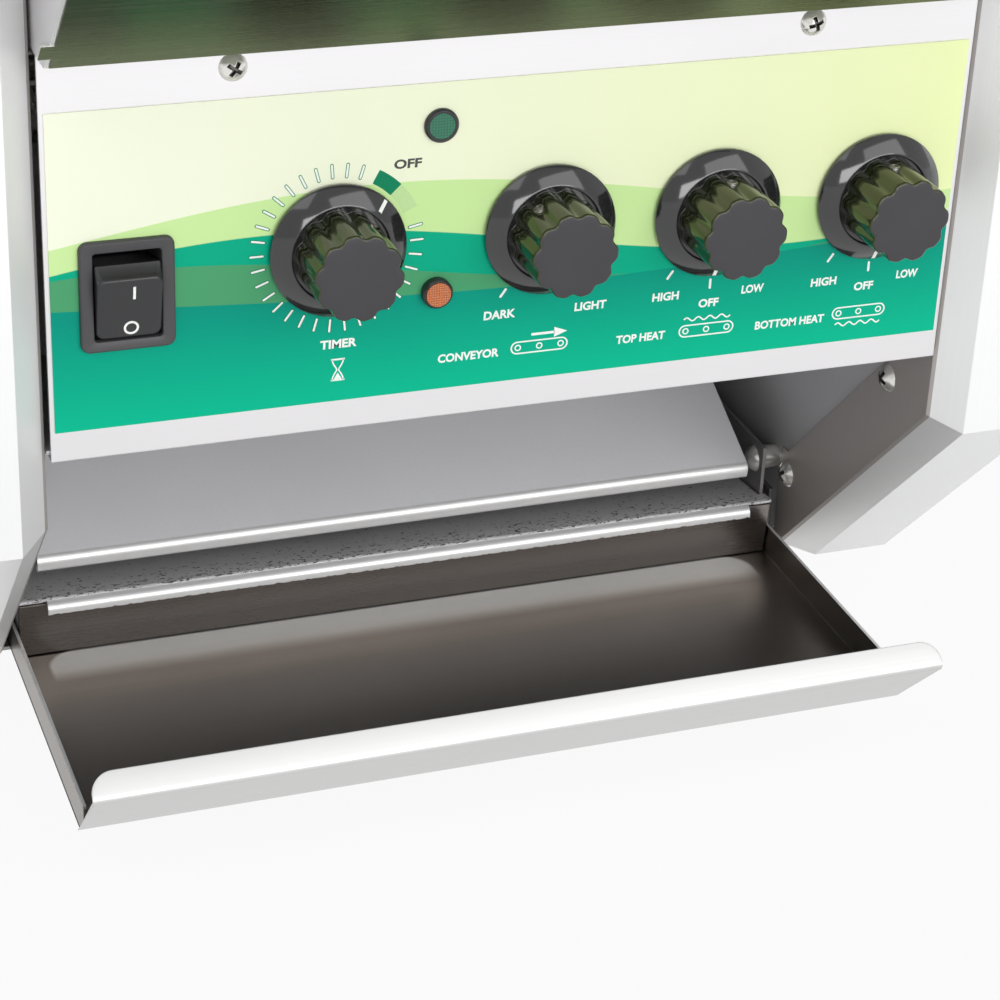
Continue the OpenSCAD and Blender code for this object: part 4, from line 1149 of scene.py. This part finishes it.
@dataclass
class Chute:
    """Discharge ramp with a rolled hem along its front edge."""

    front: tuple[float, float] = (92.4, 54.5)
    half: float = 120.8
    wide: float = 134.8
    wide_from: float = 150.0
    rear: float = 388.0
    slope: float = 25.9
    sheet: float = 1.2

    def build(self, palette: Palette) -> None:
        """Make the ramp and hang it on the casing."""
        y, z = self.front
        rise = math.tan(math.radians(self.slope))
        turn = (self.wide_from, z + (self.wide_from - y) * rise)
        low = [(y + 3.2, z - 3.4, 0.0), (y + 0.75, z - 3.2, 0.3), (y + 0.05, z - 0.3, 1.6), (turn[0] + 0.5, turn[1] + 0.5 * rise, 0.0)]
        high = [(turn[0], turn[1], 0.0), (self.rear, z + (self.rear - y) * rise, 0.0)]
        apron = piece_from("apron", mesh_of("apron", *sheet_solid(low, self.sheet, [-self.half, 0.0, self.half], steps=10)), [palette["chute_sheet"], palette["rolled_edge"]])
        for face in apron.data.polygons:
            if face.center.y < Panel.at(0, y + 1.9, 0).y:
                face.material_index = 1
        deck = piece_from("deck", mesh_of("deck", *sheet_solid(high, self.sheet, [-self.wide, 0.0, self.wide])), [palette["chute_sheet"]])
        for part in (apron, deck):
            shade_smooth(part, 40)
        piece = joined("dressed_discharge_ramp", [apron, deck])
        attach(piece, "casing")
        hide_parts("discharge_ramp")
        LOG.info("discharge ramp hemmed")


# --- fasteners and belt --------------------------------------------------------------


def islands(mesh: bpy.types.Mesh) -> list[list[Vector]]:
    """Corners of every loose solid of a mesh, in metres."""
    build = bmesh.new()
    build.from_mesh(mesh)
    bmesh.ops.remove_doubles(build, verts=build.verts, dist=1e-6)
    left = set(build.verts)
    found = []
    while left:
        group = [left.pop()]
        for vertex in group:
            for edge in vertex.link_edges:
                other = edge.other_vert(vertex)
                if other in left:
                    left.remove(other)
                    group.append(other)
        found.append([vertex.co.copy() for vertex in group])
    build.free()
    return found


@dataclass
class Screws:
    """Domed screws with a cross recess, set where the frame has its screws."""

    node: str
    turn: float = 20.0

    def stand(self, points: Sequence[Vector]) -> tuple[Matrix, float, float, float]:
        """Find how a screw stands from the points of its solid.

        Args:
            points: Points of one screw, in metres.

        Returns:
            Matrix from millimetres along +Z to its place, head radius, head height and shank length.
        """
        low = Vector([min(p[i] for p in points) for i in range(3)])
        high = Vector([max(p[i] for p in points) for i in range(3)])
        size, middle = high - low, (low + high) / 2
        axis = min(range(3), key=lambda i: abs(size[(i + 1) % 3] - size[(i + 2) % 3]))

        def away(p: Vector) -> float:
            """Distance from the screw's axis."""
            gap = p - middle
            gap[axis] = 0.0
            return gap.length

        radius = max(map(away, points))
        rim = [p[axis] for p in points if away(p) > radius * 0.98]
        base = sum(rim) / len(rim)
        up, down = high[axis] - base, base - low[axis]
        sign = 1.0 if up < down else -1.0
        out = Vector((0, 0, 0))
        out[axis] = sign
        middle[axis] = base
        place = Matrix.Translation(middle) @ out.to_track_quat("Z", "Y").to_matrix().to_4x4() @ Matrix.Scale(0.001, 4)
        return place, radius * 1000, min(up, down) * 1000, max(up, down) * 1000

    def head(self, radius: float, rise: float, turn: float) -> tuple[list[Vector], list[list[int]]]:
        """Rings of the dome and of its cross recess, in millimetres."""
        ball = (radius**2 + rise**2) / (2 * rise)
        arm, half = radius * 0.56, radius * 0.14
        corner = math.degrees(math.atan2(half, arm))
        angles = [math.radians(q + a) for q in range(0, 360, 90) for a in (0, corner, 29, 45, 61, 90 - corner)]

        def cross(a: float, scale: float) -> float:
            """Radius of the recess at an angle."""
            c, d = max(1e-6, abs(math.cos(a))), max(1e-6, abs(math.sin(a)))
            return scale * max(min(arm / c, half / d), min(arm / d, half / c))

        rows = [(lambda a, r=r: radius * r, None) for r in (1.0, 0.985, 0.88, 0.72)]
        rows += [(lambda a: cross(a, 1.0), None), (lambda a: cross(a, 0.55), rise * 0.42)]
        rings = []
        for reach, flat in rows:
            ring = []
            for a in angles:
                r = reach(a)
                z = rise - ball + math.sqrt(max(0.0, ball**2 - r**2)) if flat is None else flat
                ring.append(Vector((r * math.cos(a + turn), r * math.sin(a + turn), max(0.0, z))))
            rings.append(ring)
        return loft(rings)

    def build(self, nodes: dict, palette: Palette) -> None:
        """Make the screws and hang them on the casing."""
        parts = []
        for number, points in enumerate(islands(nodes[self.node].data)):
            place, radius, rise, shank = self.stand(points)
            corners, faces = self.head(radius, rise, math.radians(self.turn + 37 * number))
            head = piece_from("head", mesh_of("head", [place @ p for p in corners], faces), [palette["zinc_screw"], palette["screw_recess_shade"]])
            # faces of the cross recess get the dark painted shade
            for face in head.data.polygons:
                inside = max((place.inverted() @ head.data.vertices[v].co).xy.length for v in face.vertices)
                if inside < radius * 0.6:
                    face.material_index = 1
            corners, faces = spun([(0.0, -shank), (1.9, -shank), (1.9, 0.05), (0.0, 0.05)], 16)
            parts += [head, piece_from("shank", mesh_of("shank", [place @ p for p in corners], faces), [palette["zinc_screw"]])]
        for part in parts:
            shade_smooth(part, 30)
        piece = joined("dressed_" + self.node, parts)
        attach(piece, "casing")
        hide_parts(self.node)
        LOG.info("%d screws set for %s", len(parts) // 2, self.node)


# --- lettering and marks -------------------------------------------------------------


@dataclass(frozen=True)
class Label:
    """One printed word."""

    text: str
    x: float
    z: float
    width: float
    ink: str = "white_ink"
    cap: float = 2.6


class Printing:
    """Everything printed on the overlay besides its bands."""

    face = -0.4
    film = 0.03
    labels = (
        Label("OFF", -34.2, 212.5, 7.8, "grey_ink", 2.7),
        Label("DARK", -6.4, 165.5, 9.3),
        Label("LIGHT", 20.7, 165.2, 9.6),
        Label("HIGH", 43.5, 165.4, 8.2),
        Label("OFF", 57.0, 162.0, 6.2),
        Label("LOW", 70.5, 164.9, 7.0),
        Label("HIGH", 93.0, 164.6, 8.2),
        Label("OFF", 106.1, 161.9, 6.2),
        Label("LOW", 119.9, 164.3, 7.0),
        Label("TIMER", -52.8, 162.1, 10.3),
        Label("CONVEYOR", -15.1, 154.0, 17.9),
        Label("TOP HEAT", 36.7, 153.5, 15.0),
        Label("BOTTOM HEAT", 83.3, 153.0, 22.0),
    )

    def __init__(self, palette: Palette) -> None:
        """Remember the finishes."""
        self.palette = palette

    def word(self, label: Label) -> bpy.types.Object:
        """Make one word as a thin raised film."""
        curve = bpy.data.curves.new("word", "FONT")
        curve.body = label.text
        curve.size = 1.0
        curve.offset = 0.034
        curve.shear = 0.04
        curve.extrude = 0.005
        curve.resolution_u = 3
        curve.align_x = "CENTER"
        holder = bpy.data.objects.new("word", curve)
        bpy.context.scene.collection.objects.link(holder)
        bpy.context.view_layer.update()
        mesh = bpy.data.meshes.new_from_object(holder.evaluated_get(bpy.context.evaluated_depsgraph_get()))
        bpy.data.objects.remove(holder)
        xs = [v.co.x for v in mesh.vertices]
        ys = [v.co.y for v in mesh.vertices]
        middle = Vector(((min(xs) + max(xs)) / 2, (min(ys) + max(ys)) / 2, 0))
        across, up = label.width / (max(xs) - min(xs)), label.cap / (max(ys) - min(ys))
        place = out_of_panel(label.x, label.z)
        for v in mesh.vertices:
            p = v.co - middle
            v.co = place @ Vector((p.x * across, p.y * up, -self.face + (self.film if p.z > 0 else 0.0)))
        mesh.materials.clear()
        return piece_from("word", mesh, [self.palette[label.ink]])

    def belt_sign(self, x: float, z: float, wave: int) -> Stack:
        """Pictogram of a belt seen from the side, with heat above or below it.

        Args:
            x: Middle of the pictogram.
            z: Its height.
            wave: 1 for waves above, -1 for waves below and 0 for an arrow above.

        Returns:
            The lines.
        """
        lines = Stack()
        half, r = 6.6, 1.75
        loop = [(x + half * s + r * math.cos(a), z + r * math.sin(a))
                for s, start in ((1, -90), (-1, 90)) for a in (math.radians(start + 15 * k) for k in range(13))]
        for part in ribbon(loop, 0.42, self.face, self.film, True):
            lines.add(part)
        for dx in (-6.4, 0.0, 6.4):
            ring = [(x + dx + 0.8 * math.cos(a), z + 0.8 * math.sin(a)) for a in (math.tau * k / 14 for k in range(14))]
            for part in ribbon(ring, 0.38, self.face, self.film, True):
                lines.add(part)
        if wave:
            top = [(x - 7.2 + 0.4 * k, z + wave * 3.6 + 0.55 * math.sin(k * 0.4 * math.tau / 3.6)) for k in range(37)]
            for part in ribbon(top, 0.42, self.face, self.film):
                lines.add(part)
        else:
            for part in ribbon([(x - 2.5, z + 3.7), (x + 4.5, z + 3.7)], 0.75, self.face, self.film):
                lines.add(part)
            lines.add(slab([(x + 4.3, z + 2.2), (x + 8.2, z + 3.7), (x + 4.3, z + 5.2)], self.face, self.film))
        return lines

    def hourglass(self, x: float, z: float) -> Stack:
        """Pictogram of an hourglass."""
        lines = Stack()
        h, w = 3.1, 1.55
        for dz in (-h, h):
            for part in ribbon([(x - w - 0.4, z + dz), (x + w + 0.4, z + dz)], 0.5, self.face, self.film):
                lines.add(part)
        for s in (-1, 1):
            side = [(x + s * w * (0.16 + 0.84 * abs(math.sin(k * math.pi / 24 - math.pi / 2)) ** 1.2), z - h + k * 2 * h / 24) for k in range(25)]
            for part in ribbon(side, 0.38, self.face, self.film):
                lines.add(part)
        lines.add(slab([(x - 1.1, z - h + 0.3), (x + 1.1, z - h + 0.3), (x, z - 0.9)], self.face, self.film))
        return lines

    def build(self) -> None:
        """Make the words and signs and hang them on the casing."""
        pieces = [self.word(label) for label in self.labels]
        for sign in (self.belt_sign(5.9, 154.6, 0), self.belt_sign(56.9, 153.8, 1),
                     self.belt_sign(105.3, 153.9, -1), self.hourglass(-52.9, 154.3)):
            pieces.append(piece_from("sign", sign.mesh("sign"), [self.palette["white_ink"]]))
        piece = joined("panel_lettering", pieces)
        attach(piece, "casing")
        LOG.info("lettering printed in %d words", len(self.labels))


class TreeMaker:
    """Builds a small Geometry Nodes tree with named inputs."""

    def __init__(self, name: str) -> None:
        """Start a tree that ends in one geometry."""
        self.tree = bpy.data.node_groups.new(name, "GeometryNodeTree")
        self.tree.interface.new_socket("Geometry", in_out="OUTPUT", socket_type="NodeSocketGeometry")
        self.inputs = self.tree.nodes.new("NodeGroupInput")
        self.outputs = self.tree.nodes.new("NodeGroupOutput")

    def size(self, name: str, value: float, kind: str = "NodeSocketFloat") -> bpy.types.NodeSocket:
        """Add a named input and return its socket inside the tree."""
        item = self.tree.interface.new_socket(name, in_out="INPUT", socket_type=kind)
        item.default_value = value
        return self.inputs.outputs[name]

    def add(self, kind: str, feeds: dict = None, **values: object) -> bpy.types.Node:
        """Add a node, set its properties and feed its inputs by name or number."""
        node = self.tree.nodes.new(kind)
        for key, value in values.items():
            setattr(node, key, value)
        for key, value in (feeds or {}).items():
            socket = node.inputs[key]
            if isinstance(value, bpy.types.NodeSocket):
                self.tree.links.new(value, socket)
            else:
                socket.default_value = value
        return node

    def math(self, op: str, a: object, b: object = 0.0, c: object = 0.0) -> bpy.types.NodeSocket:
        """Arithmetic on sockets or numbers."""
        return self.add("ShaderNodeMath", {0: a, 1: b, 2: c}, operation=op).outputs[0]

    def finish(self, geometry: bpy.types.NodeSocket, material: bpy.types.Material) -> None:
        """Realize the instances, set the material and end the tree."""
        real = self.add("GeometryNodeRealizeInstances", {0: geometry})
        dressed = self.add("GeometryNodeSetMaterial", {0: real.outputs[0], "Material": material})
        self.tree.links.new(dressed.outputs[0], self.outputs.inputs[0])


def grown(name: str, tree: bpy.types.NodeTree, material: bpy.types.Material, move: Matrix = None) -> bpy.types.Object:
    """Run a tree once and keep its result as a plain mesh.

    Args:
        name: Name of the new piece.
        tree: The Geometry Nodes tree.
        material: Its finish.
        move: Optional matrix applied to the mesh.

    Returns:
        The piece, at the origin and without its modifier.
    """
    holder = bpy.data.objects.new(name, bpy.data.meshes.new(name))
    bpy.context.scene.collection.objects.link(holder)
    holder.modifiers.new("grow", "NODES").node_group = tree
    bpy.context.view_layer.update()
    mesh = bpy.data.meshes.new_from_object(holder.evaluated_get(bpy.context.evaluated_depsgraph_get()))
    bpy.data.objects.remove(holder)
    if move is not None:
        mesh.transform(move)
    mesh.materials.clear()
    return piece_from(name, mesh, [material])


@dataclass
class DialMarks:
    """A ring of capsule marks round a dial, grown by a tree."""

    x: float
    start: float
    step: float
    count: int
    radius: float
    length: float
    width: float
    ink: str
    lift: float = 0.4
    film: float = 0.03
    z: float = 189.9

    def build(self, palette: Palette) -> bpy.types.Object:
        """Grow the marks and stand them on the panel."""
        t = TreeMaker("dial_marks")
        count = t.size("Count", self.count, "NodeSocketInt")
        radius = t.size("Radius", self.radius)
        start = t.size("Start", math.radians(self.start))
        step = t.size("Step", math.radians(self.step))
        length = t.size("Length", self.length)
        width = t.size("Width", self.width)
        film = t.size("Film", self.film)
        angle = t.math("MULTIPLY_ADD", t.add("GeometryNodeInputIndex").outputs[0], step, start)
        across = t.math("MULTIPLY", t.math("SINE", angle), radius)
        up = t.math("MULTIPLY", t.math("COSINE", angle), radius)
        spot = t.add("ShaderNodeCombineXYZ", {0: across, 1: up}).outputs[0]
        points = t.add("GeometryNodePoints", {"Count": count, "Position": spot})
        frame = t.add("GeometryNodeCurvePrimitiveQuadrilateral", {"Width": width, "Height": length})
        capsule = t.add("GeometryNodeFilletCurve", {"Curve": frame.outputs[0], "Radius": t.math("MULTIPLY", width, 0.498)})
        for item in capsule.inputs:
            if item.name == "Count":
                item.default_value = 5
        if hasattr(capsule, "mode"):
            capsule.mode = "POLY"
        filled = t.add("GeometryNodeFillCurve", {0: capsule.outputs[0]})
        thick = t.add("GeometryNodeExtrudeMesh", {"Mesh": filled.outputs[0], "Offset Scale": film, "Individual": False})
        turn = t.add("ShaderNodeCombineXYZ", {2: t.math("MULTIPLY", angle, -1.0)}).outputs[0]
        ring = t.add("GeometryNodeInstanceOnPoints", {"Points": points.outputs[0], "Instance": thick.outputs[0], "Rotation": turn})
        t.finish(ring.outputs[0], palette[self.ink])
        move = out_of_panel(self.x, self.z) @ Matrix.Translation((0, 0, self.lift))
        return grown("dial_marks", t.tree, palette[self.ink], move)


class DialPrint:
    """The marks round the four dials."""

    def build(self, palette: Palette) -> None:
        """Make the marks and hang them on the casing."""
        rings = [
            DialMarks(-53.5, 78.0, 10.68, 29, 22.3, 4.4, 0.98, "green_ink"),
            DialMarks(-53.5, 78.0, 10.68, 29, 22.3, 3.9, 0.56, "white_ink", 0.42),
            DialMarks(7.0, 145.0, 70.0, 2, 22.0, 3.2, 0.70, "white_ink"),
        ]
        for x in (57.0, 107.0):
            rings.append(DialMarks(x, 145.0, 35.0, 3, 22.0, 3.2, 0.70, "white_ink"))
        pieces = [ring.build(palette) for ring in rings]
        for a, b, ink in ((28.0, 46.0, "green_ink"), (46.0, 65.0, "pale_ink")):
            block = Stack()
            steps = 8
            turns = [math.radians(a + (b - a) * k / steps) for k in range(steps + 1)]
            for p, q in zip(turns, turns[1:]):
                corners = [(-53.5 + r * math.sin(t), 189.9 + r * math.cos(t)) for r, t in ((20.2, p), (24.4, p), (24.4, q), (20.2, q))]
                block.add(slab(corners, -0.4, 0.03))
            pieces.append(piece_from("block", block.mesh("block"), [palette[ink]]))
        piece = joined("panel_dial_marks", pieces)
        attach(piece, "casing")
        LOG.info("dial marks grown in %d rings", len(rings))


@dataclass
class WireBelt:
    """Belt of cross wires tied by waved runs of wire, grown by a tree."""

    front: float = 38.0
    rear: float = 330.0
    axle: float = 235.0
    radius: float = 11.8
    half: float = 126.4
    rungs: int = 44
    wire: float = 1.0
    link: float = 0.72
    wave: float = 0.42
    runs: int = 11

    def build(self, palette: Palette) -> None:
        """Grow the belt round its two shafts and hang it on the casing."""
        t = TreeMaker("wire_belt")
        length = t.size("Length", self.rear - self.front)
        radius = t.size("Radius", self.radius)
        half = t.size("Half Width", self.half)
        rungs = t.size("Cross Wires", self.rungs, "NodeSocketInt")
        wire = t.size("Wire", self.wire)
        link = t.size("Link Wire", self.link)
        wave = t.size("Wave", self.wave)
        runs = t.size("Runs", self.runs, "NodeSocketInt")
        high = t.math("MULTIPLY", radius, 2.0)
        frame = t.add("GeometryNodeCurvePrimitiveQuadrilateral", {"Width": t.math("ADD", length, high), "Height": high})
        track = t.add("GeometryNodeFilletCurve", {"Curve": frame.outputs[0], "Radius": t.math("MULTIPLY", radius, 0.999)})
        for item in track.inputs:
            if item.name == "Count":
                item.default_value = 12
        if hasattr(track, "mode"):
            track.mode = "POLY"
        spots = t.add("GeometryNodeResampleCurve", {"Curve": track.outputs[0], "Count": rungs})
        rod = t.add("GeometryNodeMeshCylinder", {"Vertices": 8, "Radius": wire, "Depth": t.math("MULTIPLY", half, 2.0)})
        rods = t.add("GeometryNodeInstanceOnPoints", {"Points": spots.outputs[0], "Instance": rod.outputs[0]})
        fine = t.add("GeometryNodeResampleCurve", {"Curve": track.outputs[0], "Count": t.math("MULTIPLY", rungs, 2.0)})
        odd = t.math("MODULO", t.add("GeometryNodeInputIndex").outputs[0], 2.0)
        swing = t.math("MULTIPLY", t.math("MULTIPLY_ADD", odd, 2.0, -1.0), wave)
        here = t.add("ShaderNodeSeparateXYZ", {0: t.add("GeometryNodeInputPosition").outputs[0]})
        shift = t.add("ShaderNodeCombineXYZ", {1: t.math("MULTIPLY", swing, t.math("SIGN", here.outputs[1]))})
        waved = t.add("GeometryNodeSetPosition", {"Geometry": fine.outputs[0], "Offset": shift.outputs[0]})
        section = t.add("GeometryNodeCurvePrimitiveCircle", {"Resolution": 6, "Radius": link})
        run = t.add("GeometryNodeCurveToMesh", {"Curve": waved.outputs[0], "Profile Curve": section.outputs[0]})
        reach = t.math("SUBTRACT", half, t.math("MULTIPLY", link, 2.0))
        step = t.math("DIVIDE", t.math("MULTIPLY", reach, 2.0), t.math("SUBTRACT", runs, 1.0))
        start = t.add("ShaderNodeCombineXYZ", {2: t.math("MULTIPLY", reach, -1.0)})
        onward = t.add("ShaderNodeCombineXYZ", {2: step})
        line = t.add("GeometryNodeMeshLine", {"Count": runs, "Start Location": start.outputs[0], "Offset": onward.outputs[0]})
        across = t.add("GeometryNodeInstanceOnPoints", {"Points": line.outputs[0], "Instance": run.outputs[0]})
        both = t.add("GeometryNodeJoinGeometry")
        t.tree.links.new(rods.outputs[0], both.inputs[0])
        t.tree.links.new(across.outputs[0], both.inputs[0])
        t.finish(both.outputs[0], palette["heated_wire"])
        turn = Matrix(((0, 0, 1), (1, 0, 0), (0, 1, 0))).to_4x4()
        middle = Panel.at(0, (self.front + self.rear) / 2, self.axle)
        piece = grown("woven_belt", t.tree, palette["heated_wire"], Matrix.Translation(middle) @ turn @ Matrix.Scale(0.001, 4))
        shade_smooth(piece, 50)
        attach(piece, "casing")
        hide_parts("conveyor_belt")
        LOG.info("belt grown with %d cross wires and %d runs", self.rungs, self.runs)


# --- room ----------------------------------------------------------------------------


@dataclass
class Room:
    """Floor, light and camera."""

    lens: float = 99.12
    eye: Point = (-253.94, -651.36, 477.80)

    def floor(self) -> None:
        """Pale floor that the camera and every mirror see as white."""
        mesh = mesh_of("floor", [Vector(p) for p in ((-6, -6, 0), (6, -6, 0), (6, 6, 0), (-6, 6, 0))], [[0, 1, 2, 3]])
        material = bpy.data.materials.new("pale_floor")
        material.use_nodes = True
        tree = material.node_tree
        tree.nodes.clear()
        out = tree.nodes.new("ShaderNodeOutputMaterial")
        plain = tree.nodes.new("ShaderNodeBsdfDiffuse")
        plain.inputs[0].default_value = (0.80, 0.80, 0.80, 1)
        glow = tree.nodes.new("ShaderNodeEmission")
        glow.inputs["Color"].default_value = (1, 1, 1, 1)
        mix = tree.nodes.new("ShaderNodeMixShader")
        mix.inputs[0].default_value = 0.90
        path = tree.nodes.new("ShaderNodeLightPath")
        seen = tree.nodes.new("ShaderNodeMath")
        seen.operation = "MAXIMUM"
        tree.links.new(path.outputs["Is Camera Ray"], seen.inputs[0])
        both = tree.nodes.new("ShaderNodeMath")
        both.operation = "MAXIMUM"
        tree.links.new(path.outputs["Is Glossy Ray"], both.inputs[0])
        tree.links.new(path.outputs["Is Transmission Ray"], both.inputs[1])
        tree.links.new(both.outputs[0], seen.inputs[1])
        share = tree.nodes.new("ShaderNodeMath")
        share.operation = "MULTIPLY"
        share.inputs[1].default_value = 0.92
        tree.links.new(seen.outputs[0], share.inputs[0])
        tree.links.new(share.outputs[0], mix.inputs[0])
        tree.links.new(plain.outputs[0], mix.inputs[1])
        tree.links.new(glow.outputs[0], mix.inputs[2])
        tree.links.new(mix.outputs[0], out.inputs[0])
        piece = piece_from("floor", mesh, [material])

    def sky(self) -> None:
        """White to the camera, soft grey to everything else."""
        world = bpy.data.worlds.new("studio")
        bpy.context.scene.world = world
        world.use_nodes = True
        tree = world.node_tree
        tree.nodes.clear()
        out = tree.nodes.new("ShaderNodeOutputWorld")
        shown = tree.nodes.new("ShaderNodeBackground")
        shown.inputs[0].default_value = (1, 1, 1, 1)
        felt = tree.nodes.new("ShaderNodeBackground")
        felt.inputs[0].default_value = (0.40, 0.405, 0.41, 1)
        mirrored = tree.nodes.new("ShaderNodeBackground")
        mirrored.inputs[0].default_value = (0.72, 0.72, 0.72, 1)
        glossy = tree.nodes.new("ShaderNodeMixShader")
        mix = tree.nodes.new("ShaderNodeMixShader")
        path = tree.nodes.new("ShaderNodeLightPath")
        tree.links.new(path.outputs["Is Camera Ray"], mix.inputs[0])
        tree.links.new(path.outputs["Is Glossy Ray"], glossy.inputs[0])
        tree.links.new(felt.outputs[0], glossy.inputs[1])
        tree.links.new(mirrored.outputs[0], glossy.inputs[2])
        tree.links.new(glossy.outputs[0], mix.inputs[1])
        tree.links.new(shown.outputs[0], mix.inputs[2])
        tree.links.new(mix.outputs[0], out.inputs[0])

    def lamp(self, name: str, place: Point, aim: Point, size: tuple[float, float], power: float) -> None:
        """Rectangular soft lamp at a place, turned to a point, all in metres and watts."""
        data = bpy.data.lights.new(name, "AREA")
        data.shape = "RECTANGLE"
        data.size, data.size_y = size
        data.energy = power
        lamp = bpy.data.objects.new(name, data)
        bpy.context.scene.collection.objects.link(lamp)
        lamp.location = place
        lamp.rotation_euler = (Vector(aim) - Vector(place)).to_track_quat("-Z", "Y").to_euler()

    def camera(self) -> None:
        """Camera fitted to the photograph."""
        data = bpy.data.cameras.new("camera")
        data.lens = self.lens
        data.sensor_width = 36.0
        data.clip_start = 0.05
        eye = bpy.data.objects.new("camera", data)
        bpy.context.scene.collection.objects.link(eye)
        right = Vector((0.94021, -0.33813, 0.04094))
        up = Vector((0.12502, 0.45443, 0.88196))
        back = Vector((-0.31682, -0.82412, 0.46953))
        turn = Matrix((right, up, back)).transposed().to_4x4()
        eye.matrix_world = Matrix.Translation(Panel.at(*self.eye)) @ turn
        bpy.context.scene.camera = eye

    def build(self) -> None:
        """Set the room up."""
        self.camera()
        self.floor()
        self.sky()
        self.lamp("key", (-1.3, -1.6, 2.0), (0, -0.1, 0.15), (1.6, 1.2), 7)
        self.lamp("fill", (1.0, -2.1, 1.25), (0, -0.1, 0.15), (1.8, 1.2), 11)
        self.lamp("low", (0.2, -2.2, 0.55), (0, -0.05, 0.08), (2.2, 0.6), 22)
        bpy.context.scene.view_settings.view_transform = "Standard"
        LOG.info("room set up")


# --- dressing of the CAD nodes -------------------------------------------------------


class Casing:
    """Finishes of the nodes whose shapes stay as they are."""

    finishes = {
        "brushed_cover": ("side_cover_left", "side_cover_right"),
        "brushed_top": ("top_cover", "rear_cover", "front_hood"),
        "satin_panel": ("control_panel",),
        "mirror_shield": ("feed_ramp",),
        "bright_cheek": ("feed_cheek_left", "feed_cheek_right"),
        "mirror_sheet": ("top_reflector", "bottom_reflector"),
        "mill_sheet": ("side_frame_left", "side_frame_right", "control_shelf"),
        "pan_sheet": ("base_pan", "tray_runners"),
        "chute_sheet": ("discharge_ramp",),
        "tray_steel_painted_shade": ("landing_tray", "crumb_tray"),
        "heated_sheet": ("rear_deflector",),
        "zinc_screw": ("panel_screws", "cover_screws", "pan_spacers"),
        "heated_wire": ("conveyor_belt",),
        "ground_shaft": ("idler_shaft", "drive_shaft", "timer_spindle", "speed_spindle", "top_heat_spindle", "bottom_heat_spindle"),
        "oiled_steel": ("idler_wheels", "drive_wheels", "drive_chain", "driven_sprocket", "motor_sprocket"),
        "sintered_bronze": ("shaft_bushes",),
        "motor_enamel": ("gear_motor",),
        "heater_tube": ("top_elements", "bottom_elements"),
        "glazed_ceramic": ("element_insulators",),
        "printed_overlay": ("panel_overlay",),
        "rocker_black": ("rocker_frame", "rocker", "lamp_bezels"),
        "phenolic_case": ("timer_body", "speed_control", "top_heat_switch", "bottom_heat_switch"),
        "circuit_board": ("control_board",),
        "fan_black": ("fan_frame", "fan_rotor"),
        "foot_rubber": ("feet", "cord_gland"),
        "green_lens": ("green_lens",),
        "amber_lens": ("amber_lens",),
    }

    def build(self, nodes: dict, palette: Palette) -> None:
        """Give every node its finish."""
        for finish, names in self.finishes.items():
            for name in names:
                mesh = nodes[name].data
                mesh.materials.clear()
                mesh.materials.append(palette[finish])
        LOG.info("%d nodes dressed", sum(len(names) for names in self.finishes.values()))


def main() -> None:
    """Dress the machine."""
    logging.basicConfig(level=logging.INFO, format="%(name)s: %(message)s")
    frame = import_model()
    Panel.settle()
    Room().build()
    palette = Palette()
    Casing().build(frame["nodes"], palette)
    knobs = (
        Knob("timer_knob", "timer", -53.5, 43.0),
        Knob("speed_knob", "speed", 7.0, 145.0),
        Knob("top_heat_knob", "top_heat", 57.0, 180.0),
        Knob("bottom_heat_knob", "bottom_heat", 107.0, 180.0),
    )
    for knob in knobs:
        knob.build(palette)
    Rocker().build(palette)
    LandingTray().build(palette)
    CrumbTray().build(palette)
    Chute().build(palette)
    WireBelt().build(palette)
    for node in ("panel_screws", "cover_screws"):
        Screws(node).build(frame["nodes"], palette)
    Printing(palette).build()
    DialPrint().build(palette)


if __name__ == "__main__":
    main()
